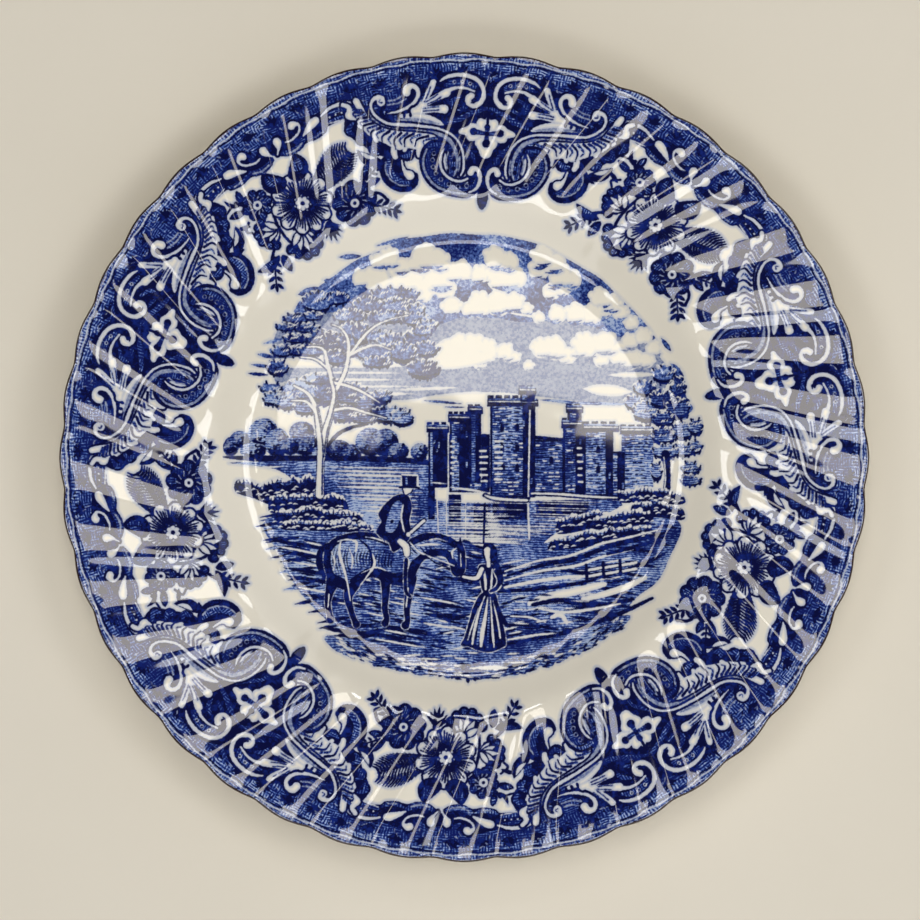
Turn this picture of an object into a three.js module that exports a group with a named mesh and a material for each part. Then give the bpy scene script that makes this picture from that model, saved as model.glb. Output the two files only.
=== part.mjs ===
// A ten-inch earthenware dinner plate with a swirled, fluted rim and a scalloped edge.
//
// The plate is a single fired piece of clay: the foot ring, the well, the shoulder and
// the rim were pressed from one lump, and the glaze and the printed decoration are
// coatings a few hundredths of a millimetre thick. So the group holds one closed body.
//
// Millimetres, +Z up. The origin is on the table under the plate's centre.

import * as THREE from 'three';
import * as BufferGeometryUtils from 'three/addons/utils/BufferGeometryUtils.js';

// ---- Driving dimensions --------------------------------------------------------------

const rimRadius = 127.5; // to the tip of a scallop

const footOuterRadius = 73.5;
const footWidth = 4.0; // flat that the plate stands on
const footSlope = 1.2; // each side of the ring leans in this far from root to flat
const footDepth = 2.6; // recess under the well

const wellRadius = 59; // flat floor of the well
const wallThickness = 4.2;
const floorHeight = footDepth + wallThickness;

const shoulderRadius = 82; // where the steep shoulder rolls over into the rim
const shoulderHeight = 15.6;
const rimHeight = 22.25; // mid height of the rim's upper face, just inside the lip

const lipThickness = 2.8;
const lipRise = 0.5; // the lip turns up slightly above the rim's slope

const fluteCount = 40;
const fluteDepth = 1.0; // from the ridge between two flutes down to the trough
const scallopDepth = 1.2; // from a scallop's tip in to the notch beside it
const fluteTwist = THREE.MathUtils.degToRad(9); // turn of a flute from the lip to the shoulder
const twistBend = 1.4; // above 1, the flutes leave the lip radially and then swing round
const backFluteShare = 0.6; // the back follows the flutes more softly than the face
const fluteStartRadius = 76; // no flutes inside this radius
const fluteFullRadius = 96; // full depth from here out to the lip
const ridgeSoftness = 0.25; // 0 gives knife-edge ridges, 1 gives an even wave

const stepsPerFlute = 6;
const stepsPerCurve = 2;

const china = new THREE.MeshStandardMaterial({
  color: 0xe6e0d0,
  roughness: 0.12,
  metalness: 0,
});

// ---- Section -------------------------------------------------------------------------

// One closed outline from the axis under the well, out around the lip and back to the
// axis on the floor of the well.
function plateSection() {
  const footInnerRadius = footOuterRadius - footWidth;
  const backShoulderHeight = shoulderHeight - wallThickness;
  const lipMiddle = rimHeight - lipThickness / 2;
  const section = new THREE.Path();

  // Underside: recess, foot ring, back of the shoulder, back of the rim.
  section.moveTo(0, footDepth);
  section.lineTo(footInnerRadius - footSlope, footDepth);
  section.lineTo(footInnerRadius, 0);
  section.lineTo(footOuterRadius, 0);
  section.lineTo(footOuterRadius + footSlope, footDepth);
  section.quadraticCurveTo(
    shoulderRadius - 1, backShoulderHeight - 2,
    shoulderRadius + 6, backShoulderHeight + 1,
  );
  section.lineTo(rimRadius - 20, rimHeight - wallThickness - 2.2);

  // Lip: a rounded edge between the back and the face.
  section.lineTo(rimRadius - 3, rimHeight - lipThickness);
  section.quadraticCurveTo(
    rimRadius, lipMiddle - 0.6,
    rimRadius, lipMiddle + 0.4,
  );
  section.quadraticCurveTo(
    rimRadius, rimHeight + lipRise,
    rimRadius - 2, rimHeight + lipRise / 2,
  );

  // Face: rim, roll-over, shoulder and the hollow curve down into the well.
  section.lineTo(rimRadius - 12, rimHeight - 1.6);
  section.lineTo(rimRadius - 24, rimHeight - 3.2);
  section.quadraticCurveTo(
    shoulderRadius + 3, shoulderHeight + 0.9,
    shoulderRadius, shoulderHeight - 0.6,
  );
  section.quadraticCurveTo(
    shoulderRadius - 10, floorHeight + 0.4,
    wellRadius, floorHeight,
  );
  section.lineTo(0, floorHeight);
  return section.getPoints(stepsPerCurve);
}

// ---- Flutes --------------------------------------------------------------------------

// 1 in the middle of a flute, falling to 0 at the ridge on either side.
function fluteProfile(turn) {
  const wave = Math.cos((turn * fluteCount) / 2);
  const soft = Math.hypot(wave, ridgeSoftness) - ridgeSoftness;
  return soft / (Math.hypot(1, ridgeSoftness) - ridgeSoftness);
}

// How deep the flutes are at a radius, from 0 inside the shoulder to 1 on the rim.
function fluteShare(radius) {
  return THREE.MathUtils.smoothstep(radius, fluteStartRadius, fluteFullRadius);
}

// How far the flutes have turned by a radius, counted inwards from the lip.
function twistAt(radius) {
  const inward = Math.max(rimRadius - radius, 0) / (rimRadius - shoulderRadius);
  return fluteTwist * Math.min(inward, 1) ** twistBend;
}

// Moves every point of a plain turned plate onto the fluted one. A column of points keeps
// its place in its flute, so the columns run along the troughs and ridges.
function addFlutes(geometry) {
  const position = geometry.getAttribute('position');
  const normal = geometry.getAttribute('normal');
  const point = new THREE.Vector3();
  for (let i = 0; i < position.count; i += 1) {
    point.fromBufferAttribute(position, i);
    const radius = Math.hypot(point.x, point.y);
    const turn = Math.atan2(point.y, point.x);
    const share = fluteShare(radius);
    const trough = fluteProfile(turn);
    const faceUp = THREE.MathUtils.smoothstep(normal.getZ(i), -0.9, 0);

    const depth = fluteDepth * share * THREE.MathUtils.lerp(backFluteShare, 1, faceUp);
    const notch = scallopDepth * share * (1 - trough) * (radius / rimRadius) ** 4;
    const newRadius = radius - notch;
    const newTurn = turn + twistAt(radius);
    position.setXYZ(
      i,
      newRadius * Math.cos(newTurn),
      newRadius * Math.sin(newTurn),
      point.z + depth * (0.5 - trough),
    );
  }
}

// ---- Plate ---------------------------------------------------------------------------

function plateBody() {
  const turned = new THREE.LatheGeometry(plateSection(), fluteCount * stepsPerFlute);
  turned.rotateX(Math.PI / 2);
  addFlutes(turned);
  turned.deleteAttribute('normal');
  turned.deleteAttribute('uv');
  const body = new THREE.Mesh(BufferGeometryUtils.mergeVertices(turned), china);
  body.name = 'plate_body';
  return body;
}

const dinnerPlate = new THREE.Group();
dinnerPlate.add(plateBody());

export default dinnerPlate;
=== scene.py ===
"""A blue and white dinner plate: glazed body, printed border and printed centre.

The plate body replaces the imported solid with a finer, rounder surface in the same box,
at most about 1.3 mm from it. The decoration is two thin print sheets, as on real ware,
where the border and the centre are separate transfers. Each is drawn by the functions
below with brush lines and outlines, stored as signed distances on the sheet's own
points, and inked by its material.
"""

import math

import bmesh
import bpy
import numpy as np
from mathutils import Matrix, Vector


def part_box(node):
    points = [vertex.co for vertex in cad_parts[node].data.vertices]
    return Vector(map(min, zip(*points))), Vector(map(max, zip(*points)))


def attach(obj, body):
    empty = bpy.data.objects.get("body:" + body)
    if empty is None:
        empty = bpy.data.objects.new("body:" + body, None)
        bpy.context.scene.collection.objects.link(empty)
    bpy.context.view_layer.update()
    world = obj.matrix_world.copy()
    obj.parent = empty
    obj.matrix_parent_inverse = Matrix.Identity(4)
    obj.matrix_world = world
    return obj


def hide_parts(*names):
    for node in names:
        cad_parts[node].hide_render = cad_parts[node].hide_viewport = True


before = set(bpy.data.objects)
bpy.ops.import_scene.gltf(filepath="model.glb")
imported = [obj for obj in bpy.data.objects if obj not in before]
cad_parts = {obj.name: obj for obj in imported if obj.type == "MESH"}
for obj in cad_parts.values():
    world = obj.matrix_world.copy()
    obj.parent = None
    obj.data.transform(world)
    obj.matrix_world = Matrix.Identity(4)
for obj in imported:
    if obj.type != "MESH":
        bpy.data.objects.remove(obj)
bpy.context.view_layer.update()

# ---- Driving dimensions, in millimetres ----------------------------------------------

MM = 0.001  # the scene is in metres

low_corner, high_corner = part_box("plate_body")
RIM_RADIUS = (high_corner[0] - low_corner[0]) / 2 / MM
PLATE_HEIGHT = (high_corner[2] - low_corner[2]) / MM

FOOT_OUTER = 73.5
FOOT_WIDTH = 4.0
FOOT_SLOPE = 1.2
FOOT_DEPTH = 2.6
WALL = 4.2
FLOOR_HEIGHT = FOOT_DEPTH + WALL
WELL_RADIUS = 59.0
SHOULDER_RADIUS = 82.0
RIM_HEIGHT = 22.25
LIP_THICKNESS = 2.8

FLUTES = 40
FLUTE_DEPTH = 1.0
SCALLOP_DEPTH = 1.2
FLUTE_TWIST = math.radians(9)
TWIST_BEND = 1.4
BACK_FLUTE_SHARE = 0.6
FLUTE_START = 76.0
FLUTE_FULL = 96.0
UNEVENNESS = 0.09  # hand-made flutes differ: how much of their depth one slow wave changes
WALL_FLUTE = 0.12  # how much of a flute still shows on the wall of the well
RIDGE_SOFTNESS = 0.25

SHEET_JOIN = 77.0  # the two print sheets meet here
PRINT_LIFT = 0.03  # how far the border sheet lies over the face section, the centre one half that
BODY_SINK = 0.12  # how far the body's own face lies under that section
PRINT_TURN = math.radians(4.0)  # the top cartouche stands this far to the right of +Y


# ---- Shape of the plate --------------------------------------------------------------

def smoothstep(value, start, end):
    """0 up to start, 1 from end on, and a smooth rise between."""
    t = np.clip((value - start) / (end - start), 0, 1)
    return t * t * (3 - 2 * t)


def rounded(points, steps=8):
    """A cubic B-spline over given section points, from the first to the last."""
    p = np.array(points, float)
    p = np.concatenate([2 * p[:1] - p[1:2], p, 2 * p[-1:] - p[-2:-1]])
    t = (np.arange(steps) / steps)[:, None]
    spans = []
    for a, b, c, d in zip(p, p[1:], p[2:], p[3:]):
        spans.append(((1 - t)**3 * a + (3 * t**3 - 6 * t**2 + 4) * b
                      + (-3 * t**3 + 3 * t**2 + 3 * t + 1) * c + t**3 * d) / 6)
    spans.append(((p[-3] + 4 * p[-2] + p[-1]) / 6)[None])
    return np.concatenate(spans)


def face_section():
    """Radius and height of the upper face, from the middle of the well to the lip's edge."""
    return rounded([
        (0, FLOOR_HEIGHT), (30, FLOOR_HEIGHT), (48, FLOOR_HEIGHT), (WELL_RADIUS - 2, FLOOR_HEIGHT),
        (WELL_RADIUS + 1.6, FLOOR_HEIGHT), (62.4, FLOOR_HEIGHT + 0.07), (64.4, FLOOR_HEIGHT + 0.2),
        (66.2, FLOOR_HEIGHT + 0.33), (67.6, FLOOR_HEIGHT + 0.52), (68.8, FLOOR_HEIGHT + 0.8),
        (70, FLOOR_HEIGHT + 1.22), (71.2, FLOOR_HEIGHT + 1.78), (72.6, 9.35), (75, 10.85), (78, 13.0),
        (81.2, 15.05), (84.5, 16.35), (90, 17.4), (98, 18.3), (106, 19.28), (114, 20.32), (120, 21.16),
        (124.2, 21.8), (126.3, 22.5), (127.35, 22.35), (127.6, 21.6), (127.5, 20.9),
    ], steps=24)


def back_section():
    """Radius and height of the underside, from the lip's edge to the middle."""
    inner = FOOT_OUTER - FOOT_WIDTH
    return rounded([
        (127.5, 20.9), (127.3, 20.2), (126.2, 19.6), (123.5, 19.15), (117, 18.2), (108, 16.7), (98, 15.2),
        (90, 13.8), (84, 11.6), (80, 8.9), (77.4, 6.2), (75.8, 4.0), (75.0, 2.3), (74.5, 0.8),
        (74.0, 0.12), (73.4, 0.0), (73.0, 0.0), (72.4, 0.0), (71.0, 0.0), (70.0, 0.0), (69.6, 0.1),
        (69.1, 0.7), (inner - FOOT_SLOPE, 1.9), (67.4, 2.5), (66, FOOT_DEPTH), (60, FOOT_DEPTH),
        (45, FOOT_DEPTH), (30, FOOT_DEPTH), (15, FOOT_DEPTH), (5, FOOT_DEPTH), (2, FOOT_DEPTH),
    ], steps=4)


def flute_profile(turn):
    """1 in the middle of a flute, 0 on the ridge at either side."""
    wave = np.cos(turn * FLUTES / 2)
    soft = np.hypot(wave, RIDGE_SOFTNESS) - RIDGE_SOFTNESS
    return soft / (math.hypot(1, RIDGE_SOFTNESS) - RIDGE_SOFTNESS)


def twist_at(radius):
    """How far the flutes have swung round at a radius, in radians."""
    inward = np.clip((RIM_RADIUS - radius) / (RIM_RADIUS - SHOULDER_RADIUS), 0, 1)
    return FLUTE_TWIST * inward**TWIST_BEND


def fluted(radius, turn, height, depth=1.0):
    """Points of the fluted plate, in metres, from places on the plain turned section.

    A depth of 1 is the face; the back has less.
    """
    trough = flute_profile(turn - twist_at(radius))
    share = smoothstep(radius, FLUTE_START, FLUTE_FULL)
    # On the face, a trace of each flute runs on down the wall of the well.
    trace = smoothstep(radius, WELL_RADIUS + 3, WELL_RADIUS + 10)
    share = np.where(np.equal(depth, 1), share + (1 - share) * WALL_FLUTE * trace, share)
    outward = np.clip((radius - FLUTE_FULL) / (RIM_RADIUS - FLUTE_FULL), 0, 1)
    notch = SCALLOP_DEPTH * share * (1 - trough) * outward**2
    reach = radius - notch
    # A quicker, stronger wave changes the depth from one flute to the next.
    beat = 2.4 * np.sin(17 * turn + np.sin(5 * turn))
    uneven = 1 + UNEVENNESS * (np.sin(3 * turn + 1) + np.sin(7 * turn + 2) + beat)
    rise = FLUTE_DEPTH * depth * share * uneven * (0.5 - trough)
    points = np.stack([reach * np.cos(turn), reach * np.sin(turn), height + rise], axis=-1)
    return points * MM


# ---- Ink -----------------------------------------------------------------------------
#
# The print is kept as three signed distances at every point of a print sheet, in
# millimetres and positive inside the ink: pale tint or darker, mid blue or darker, navy.
# Shapes are laid on in order, and a later shape covers an earlier one.

CHINA, PALE, MID, NAVY = range(4)
FAR = 3.0


def smooth_path(points, closed=False, steps=7):
    """A Catmull-Rom curve through the points, whose columns may be x, y and a width."""
    points = np.asarray(points, float)
    if closed:
        before, after = points[-1:], points[:2]
    else:
        before, after = 2 * points[:1] - points[1:2], 2 * points[-1:] - points[-2:-1]
    p = np.concatenate([before, points, after])
    t = (np.arange(steps) / steps)[:, None]
    spans = []
    for p0, p1, p2, p3 in zip(p, p[1:], p[2:], p[3:]):
        spans.append(0.5 * (2 * p1 + (p2 - p0) * t + (2 * p0 - 5 * p1 + 4 * p2 - p3) * t**2
                            + (3 * p1 - p0 - 3 * p2 + p3) * t**3))
    if not closed:
        spans.append(points[-1:])
    return np.concatenate(spans)


class Sheet:
    """Points of a print sheet, and the ink laid on them."""

    def __init__(self, x, y, polar=False, repeat=(0,)):
        self.x, self.y = np.ravel(x), np.ravel(y)
        self.polar = polar
        self.repeat = repeat
        self.levels = np.full((3, self.x.size), -FAR)

    def places(self, points):
        """The points in plain millimetres, once for each repeat that may touch the sheet."""
        points = np.asarray(points, float)
        for turn in self.repeat:
            placed = points.copy()
            if self.polar:
                angle = np.radians(points[:, 0] + turn)
                placed[:, 0] = points[:, 1] * np.sin(angle)
                placed[:, 1] = points[:, 1] * np.cos(angle)
            yield placed

    def near(self, placed, reach):
        """Which of the sheet's points lie within reach of a shape's box."""
        low = placed[:, :2].min(0) - reach
        high = placed[:, :2].max(0) + reach
        inside = (self.x > low[0]) & (self.x < high[0]) & (self.y > low[1]) & (self.y < high[1])
        return np.flatnonzero(inside)

    def lay(self, index, distance, tone):
        """Lays ink of one tone where the distance is positive, over what is there."""
        distance = np.clip(distance, -FAR, FAR)
        for level in range(3):
            old = self.levels[level, index]
            new = np.maximum(old, distance) if level < tone else np.minimum(old, -distance)
            self.levels[level, index] = new

    def area(self, tone, points, smooth=True, grow=0.0):
        """Fills an outline."""
        for placed in self.places(points):
            ring = smooth_path(placed, closed=True, steps=5) if smooth else placed
            index = self.near(ring, 1.0 + grow)
            if not index.size:
                continue
            px, py = self.x[index], self.y[index]
            best = np.full(px.shape, FAR**2)
            inside = np.zeros(px.shape, bool)
            for (ax, ay), (bx, by) in zip(ring, np.roll(ring, -1, 0)):
                ex, ey = bx - ax, by - ay
                length = ex * ex + ey * ey
                if length == 0:
                    continue
                wx, wy = px - ax, py - ay
                along = np.clip((wx * ex + wy * ey) / length, 0, 1)
                best = np.minimum(best, (wx - ex * along)**2 + (wy - ey * along)**2)
                if ay != by:
                    inside ^= ((ay > py) != (by > py)) & (wx < ex * wy / ey)
            self.lay(index, np.where(inside, 1, -1) * np.sqrt(best) + grow, tone)

    def stroke(self, tone, points, width=None, grow=0.0, smooth=True, steps=6):
        """Draws a brush line. A third column of the points is the brush's width there."""
        points = np.asarray(points, float)
        if width is not None:
            points = np.column_stack([points[:, :2], np.full(len(points), width)])
        for placed in self.places(points):
            path = smooth_path(placed, steps=steps) if smooth else placed
            half = np.maximum(path[:, 2], 0.05) / 2
            index = self.near(path, 1.0 + grow + half.max())
            if not index.size:
                continue
            px, py = self.x[index], self.y[index]
            best = np.full(px.shape, -FAR)
            for (ax, ay, _), (bx, by, _), ha, hb in zip(path, path[1:], half, half[1:]):
                ex, ey = bx - ax, by - ay
                wx, wy = px - ax, py - ay
                length = max(ex * ex + ey * ey, 1e-9)
                along = np.clip((wx * ex + wy * ey) / length, 0, 1)
                gap = np.hypot(wx - ex * along, wy - ey * along)
                best = np.maximum(best, ha + (hb - ha) * along - gap)
            self.lay(index, best + grow, tone)

    def dot(self, tone, centre, radius):
        """Fills a circle."""
        for (x, y), in self.places([centre]):
            index = self.near(np.array([[x, y]]), radius + 1.0)
            gap = np.hypot(self.x[index] - x, self.y[index] - y)
            self.lay(index, radius - gap, tone)

    def scroll(self, points, outline=0.8, tone=CHINA, rim=NAVY):
        """A brush line with a dark outline."""
        self.stroke(rim, points, grow=outline)
        self.stroke(tone, points)

    def leaf(self, base, tip, width, tone=NAVY, bend=0.0, rim=None, outline=0.5):
        """A pointed leaf from base to tip; bend curves it to one side."""
        base, tip = np.asarray(base, float), np.asarray(tip, float)
        stretch = self.stretch(base, tip)
        along = (tip - base) * stretch
        across = np.array([-along[1], along[0]])
        t = np.array([0, .15, .4, .65, .88, 1])
        fullness = np.array([.12, .62, 1, .86, .38, .02])
        spine = base * stretch + along * t[:, None]
        spine = spine + across * (bend * np.sin(np.pi * t))[:, None]
        points = np.column_stack([spine / stretch, width * fullness])
        if rim is not None:
            self.stroke(rim, points, grow=outline)
        self.stroke(tone, points)

    def stretch(self, base, tip):
        """Millimetres for one unit of each coordinate around a place."""
        if not self.polar:
            return np.ones(2)
        return np.array([np.radians((base[1] + tip[1]) / 2), 1.0])

    def spine(self, base, tip):
        """In millimetres: the base, the run to the tip, its direction and the one across it."""
        base, tip = np.array(base, float), np.array(tip, float)
        stretch = self.stretch(base, tip)
        along = (tip - base) * stretch
        ahead = along / np.hypot(*along)
        return stretch, base * stretch, along, ahead, np.array([-ahead[1], ahead[0]])


# ---- Border print --------------------------------------------------------------------
#
# One repeat of the border, in degrees clockwise from the middle of its cartouche and
# millimetres from the plate's centre.

REPEATS = 5
UNIT = 360 / REPEATS
SPRAY_MIDDLE = UNIT / 2


def flip(points, side):
    """The points of the right half, or their mirror image when side is -1."""
    points = np.array(points, float)
    points[:, 0] *= side
    return points


def shifted(points, by):
    """The points moved round the border."""
    points = np.array(points, float)
    points[:, 0] += by
    return points


def around(sheet, centre, turn, distance):
    """The place some millimetres from a centre; a turn of 0 points outwards."""
    stretch = sheet.stretch(centre, centre)
    return (
        centre[0] + distance * np.sin(turn) / stretch[0],
        centre[1] + distance * np.cos(turn) / stretch[1],
    )


def rim_ground(sheet, rng):
    """Hatched ground, grass tufts, and the light line and ticked band beside the lip."""
    arc = np.arange(-40, 41, 1.0)
    lobes = np.abs(np.cos(np.radians(arc * FLUTES / 2)))**0.7
    line = np.column_stack([arc, 124.5 + 1.3 * lobes])
    outer = np.column_stack([arc, np.full(arc.size, 130.0)])
    sheet.area(MID, np.concatenate([outer, [(40, 111.5)], [(0, 100)], [(-40, 111.5)]]), smooth=False)
    tufts = 17
    for k in range(tufts):
        middle = -UNIT / 2 + (k + 0.5) * UNIT / tufts
        root = 119.4 + 1.6 * rng.random()
        for lean in np.linspace(-1, 1, 5):
            reach = 3.4 - 0.5 * abs(lean) + 0.7 * rng.random()
            tip = around(sheet, (middle, root), 1.05 * lean, reach)
            sheet.leaf((middle, root), tip, 1.15, bend=0.12 * lean)
        for _ in range(7):
            place = (middle + rng.uniform(-2.1, 2.1), rng.uniform(116.2, 124.2))
            sheet.leaf(place, around(sheet, place, rng.uniform(-1.4, 1.4), rng.uniform(0.9, 1.7)), 0.62)
        for _ in range(5):
            place = (middle + rng.uniform(-2.1, 2.1), rng.uniform(116.6, 123.8))
            end = around(sheet, place, rng.uniform(-1.4, 1.4), 1.0)
            sheet.stroke(PALE, [place, end], width=0.34, smooth=False)
    ticks = 150
    for k in range(ticks):
        angle = -UNIT / 2 + (k + 0.5) * UNIT / ticks
        low = 126.1 + 0.7 * rng.random()
        sheet.stroke(
            NAVY if k % 2 else PALE, [(angle, low), (angle + 0.1, low + 0.9)], width=0.45, smooth=False,
        )
    sheet.stroke(NAVY, line - (0, 0.65), width=0.6)
    sheet.stroke(CHINA, line + (0, 0.1), width=0.55)
    sheet.stroke(PALE, line + (0, 1.9), width=0.35)


def cartouche_ground(sheet):
    """Dark field behind the flower, symmetric about the cartouche's middle."""
    half = [
        (0, 119.0), (1.2, 120.4), (3, 121.7), (5.5, 121.9), (8.6, 121.0), (10.6, 118.5),
        (12.5, 120.4), (14.2, 117), (14.2, 112), (11, 106), (9, 103.8), (5.4, 100.5),
        (4.0, 96), (3.7, 91), (3.2, 87), (1.2, 84.0),
    ]
    outline = half + [(-a, r) for a, r in half[::-1]]
    sheet.area(NAVY, outline)
    for side in (1, -1):
        for patch in [
            [(0.3, 110.4, 0.8), (2.4, 109.0, 1.5), (4.8, 106.8, 1.6), (6.9, 105.6, 1.0)],
            [(4.6, 114.0, 0.9), (5.8, 112.6, 1.4), (6.4, 110.4, 1.2)],
            [(5.4, 101.6, 0.8), (4.2, 98.6, 1.3), (2.4, 95.4, 1.1), (1.9, 92.6, 0.6)],
            [(2.4, 112.2, 0.7), (3.8, 110.6, 1.1), (5.0, 109.6, 0.6)],
        ]:
            sheet.stroke(MID, flip(patch, side))


def top_scroll(sheet, side):
    """The pale C-scroll with a beaded band, beside the cartouche's middle."""
    sheet.scroll(flip([
        (7.7, 119.0, 0.5), (6.7, 120.0, 1.1), (5.2, 120.5, 1.3), (3.6, 120.3, 1.4), (2.2, 119.4, 1.5),
        (1.35, 117.8, 1.5), (0.95, 115.6, 1.4), (1.05, 113.3, 1.5), (1.7, 111.7, 1.8), (2.6, 111.2, 1.9),
        (3.3, 112.0, 1.9), (3.3, 113.4, 2.1), (2.9, 114.1, 2.1),
    ], side), outline=0.7)
    sheet.stroke(NAVY, flip([(2.15, 112.9, 0.3), (2.35, 112.2, 0.7), (2.9, 111.9, 0.3)], side))
    sheet.stroke(MID, flip([
        (2.5, 117.0, 1.6), (3.8, 118.3, 1.9), (5.4, 118.4, 1.7), (6.9, 117.6, 1.0),
    ], side))
    for a, r in [(3.1, 117.9), (4.3, 118.4), (5.5, 118.3)]:
        sheet.dot(CHINA, (side * a, r), 0.62)
        sheet.dot(NAVY, (side * a, r), 0.28)
    sheet.stroke(CHINA, flip([
        (2.4, 115.6, 0.7), (3.8, 116.4, 0.8), (5.3, 116.5, 1.0), (6.4, 115.8, 1.4),
    ], side))


def coral_leaf(sheet, side):
    """White leaf of four blunt fingers that grows inwards from the arm."""
    fingers = [
        [(11.6, 110.6, 2.0), (10.6, 113, 1.9), (9.7, 115.4, 1.9), (9.05, 117.6, 2.1), (8.75, 119.0, 2.0)],
        [(11.6, 111.0, 2.0), (9.9, 112.8, 2.0), (8.3, 114.0, 2.2), (6.8, 115.1, 2.7)],
        [(12.2, 110.4, 2.4), (10.3, 110.4, 2.3), (8.7, 110.3, 2.1), (7.3, 110.1, 2.8)],
        [(14.5, 109.5, 1.2), (11.8, 108.6, 2.4), (9.5, 107.0, 2.3), (8.3, 105.9, 1.6), (7.7, 105.3, 0.7)],
    ]
    for finger in fingers:
        sheet.stroke(NAVY, flip(finger, side), grow=0.75)
    for finger in fingers:
        sheet.stroke(CHINA, flip(finger, side))
    sheet.area(PALE, flip([
        (15.4, 108.6), (13, 108.4), (11, 107.6), (9.2, 106.4), (8.2, 105.4), (10, 105.9), (13, 107.0),
        (16, 107.9),
    ], side))
    for line in [
        [(10.4, 113.0), (9.7, 115.4), (9.2, 117.6)], [(10.9, 113.4), (10.2, 115.8)],
        [(9.9, 112.2), (8.6, 113.0), (7.7, 113.9)], [(10.2, 112.9), (9.0, 114.0), (8.2, 114.9)],
        [(10.7, 110.9), (9.4, 111.0), (8.2, 110.9)], [(10.7, 110.1), (9.4, 110.0), (8.2, 109.9)],
    ]:
        sheet.stroke(MID, flip(line, side), width=0.42)
    for a in (12.9, 13.9, 14.9, 15.9):
        sheet.leaf((side * (a + 0.1), 108.7 + 0.1 * (a - 12)), (side * a, 110.1 + 0.1 * (a - 12)), 0.9)


def second_curl(sheet, side):
    """Small curl between the coral leaf and the arm's volute."""
    sheet.stroke(MID, flip([(12.6, 116.6, 3), (14.4, 114.6, 3.4), (16.2, 114.6, 3.2)], side))
    path = [
        (13.0, 116.5, 2.6), (12.8, 117.6, 2.4), (12.2, 118.3, 1.8), (11.55, 117.9, 1.5), (11.2, 116.5, 1.4),
        (11.4, 114.7, 1.3), (12.1, 113.0, 1.2), (13.3, 111.8, 1.1), (14.8, 111.1, 0.8), (16.6, 111.1, 0.4),
    ]
    sheet.scroll(flip(path, side), outline=0.75)
    sheet.stroke(NAVY, flip([
        (12.1, 116.2, 0.8), (12.4, 114.9, 1.1), (13.3, 113.4, 1.0), (14.4, 112.7, 0.5),
    ], side))
    for line in [[(13.2, 114.6), (14.6, 113.6), (16.3, 113.7)], [(13.8, 115.6), (15, 114.8), (16.3, 115.0)]]:
        sheet.stroke(PALE, flip(line, side), width=0.5)


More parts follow.
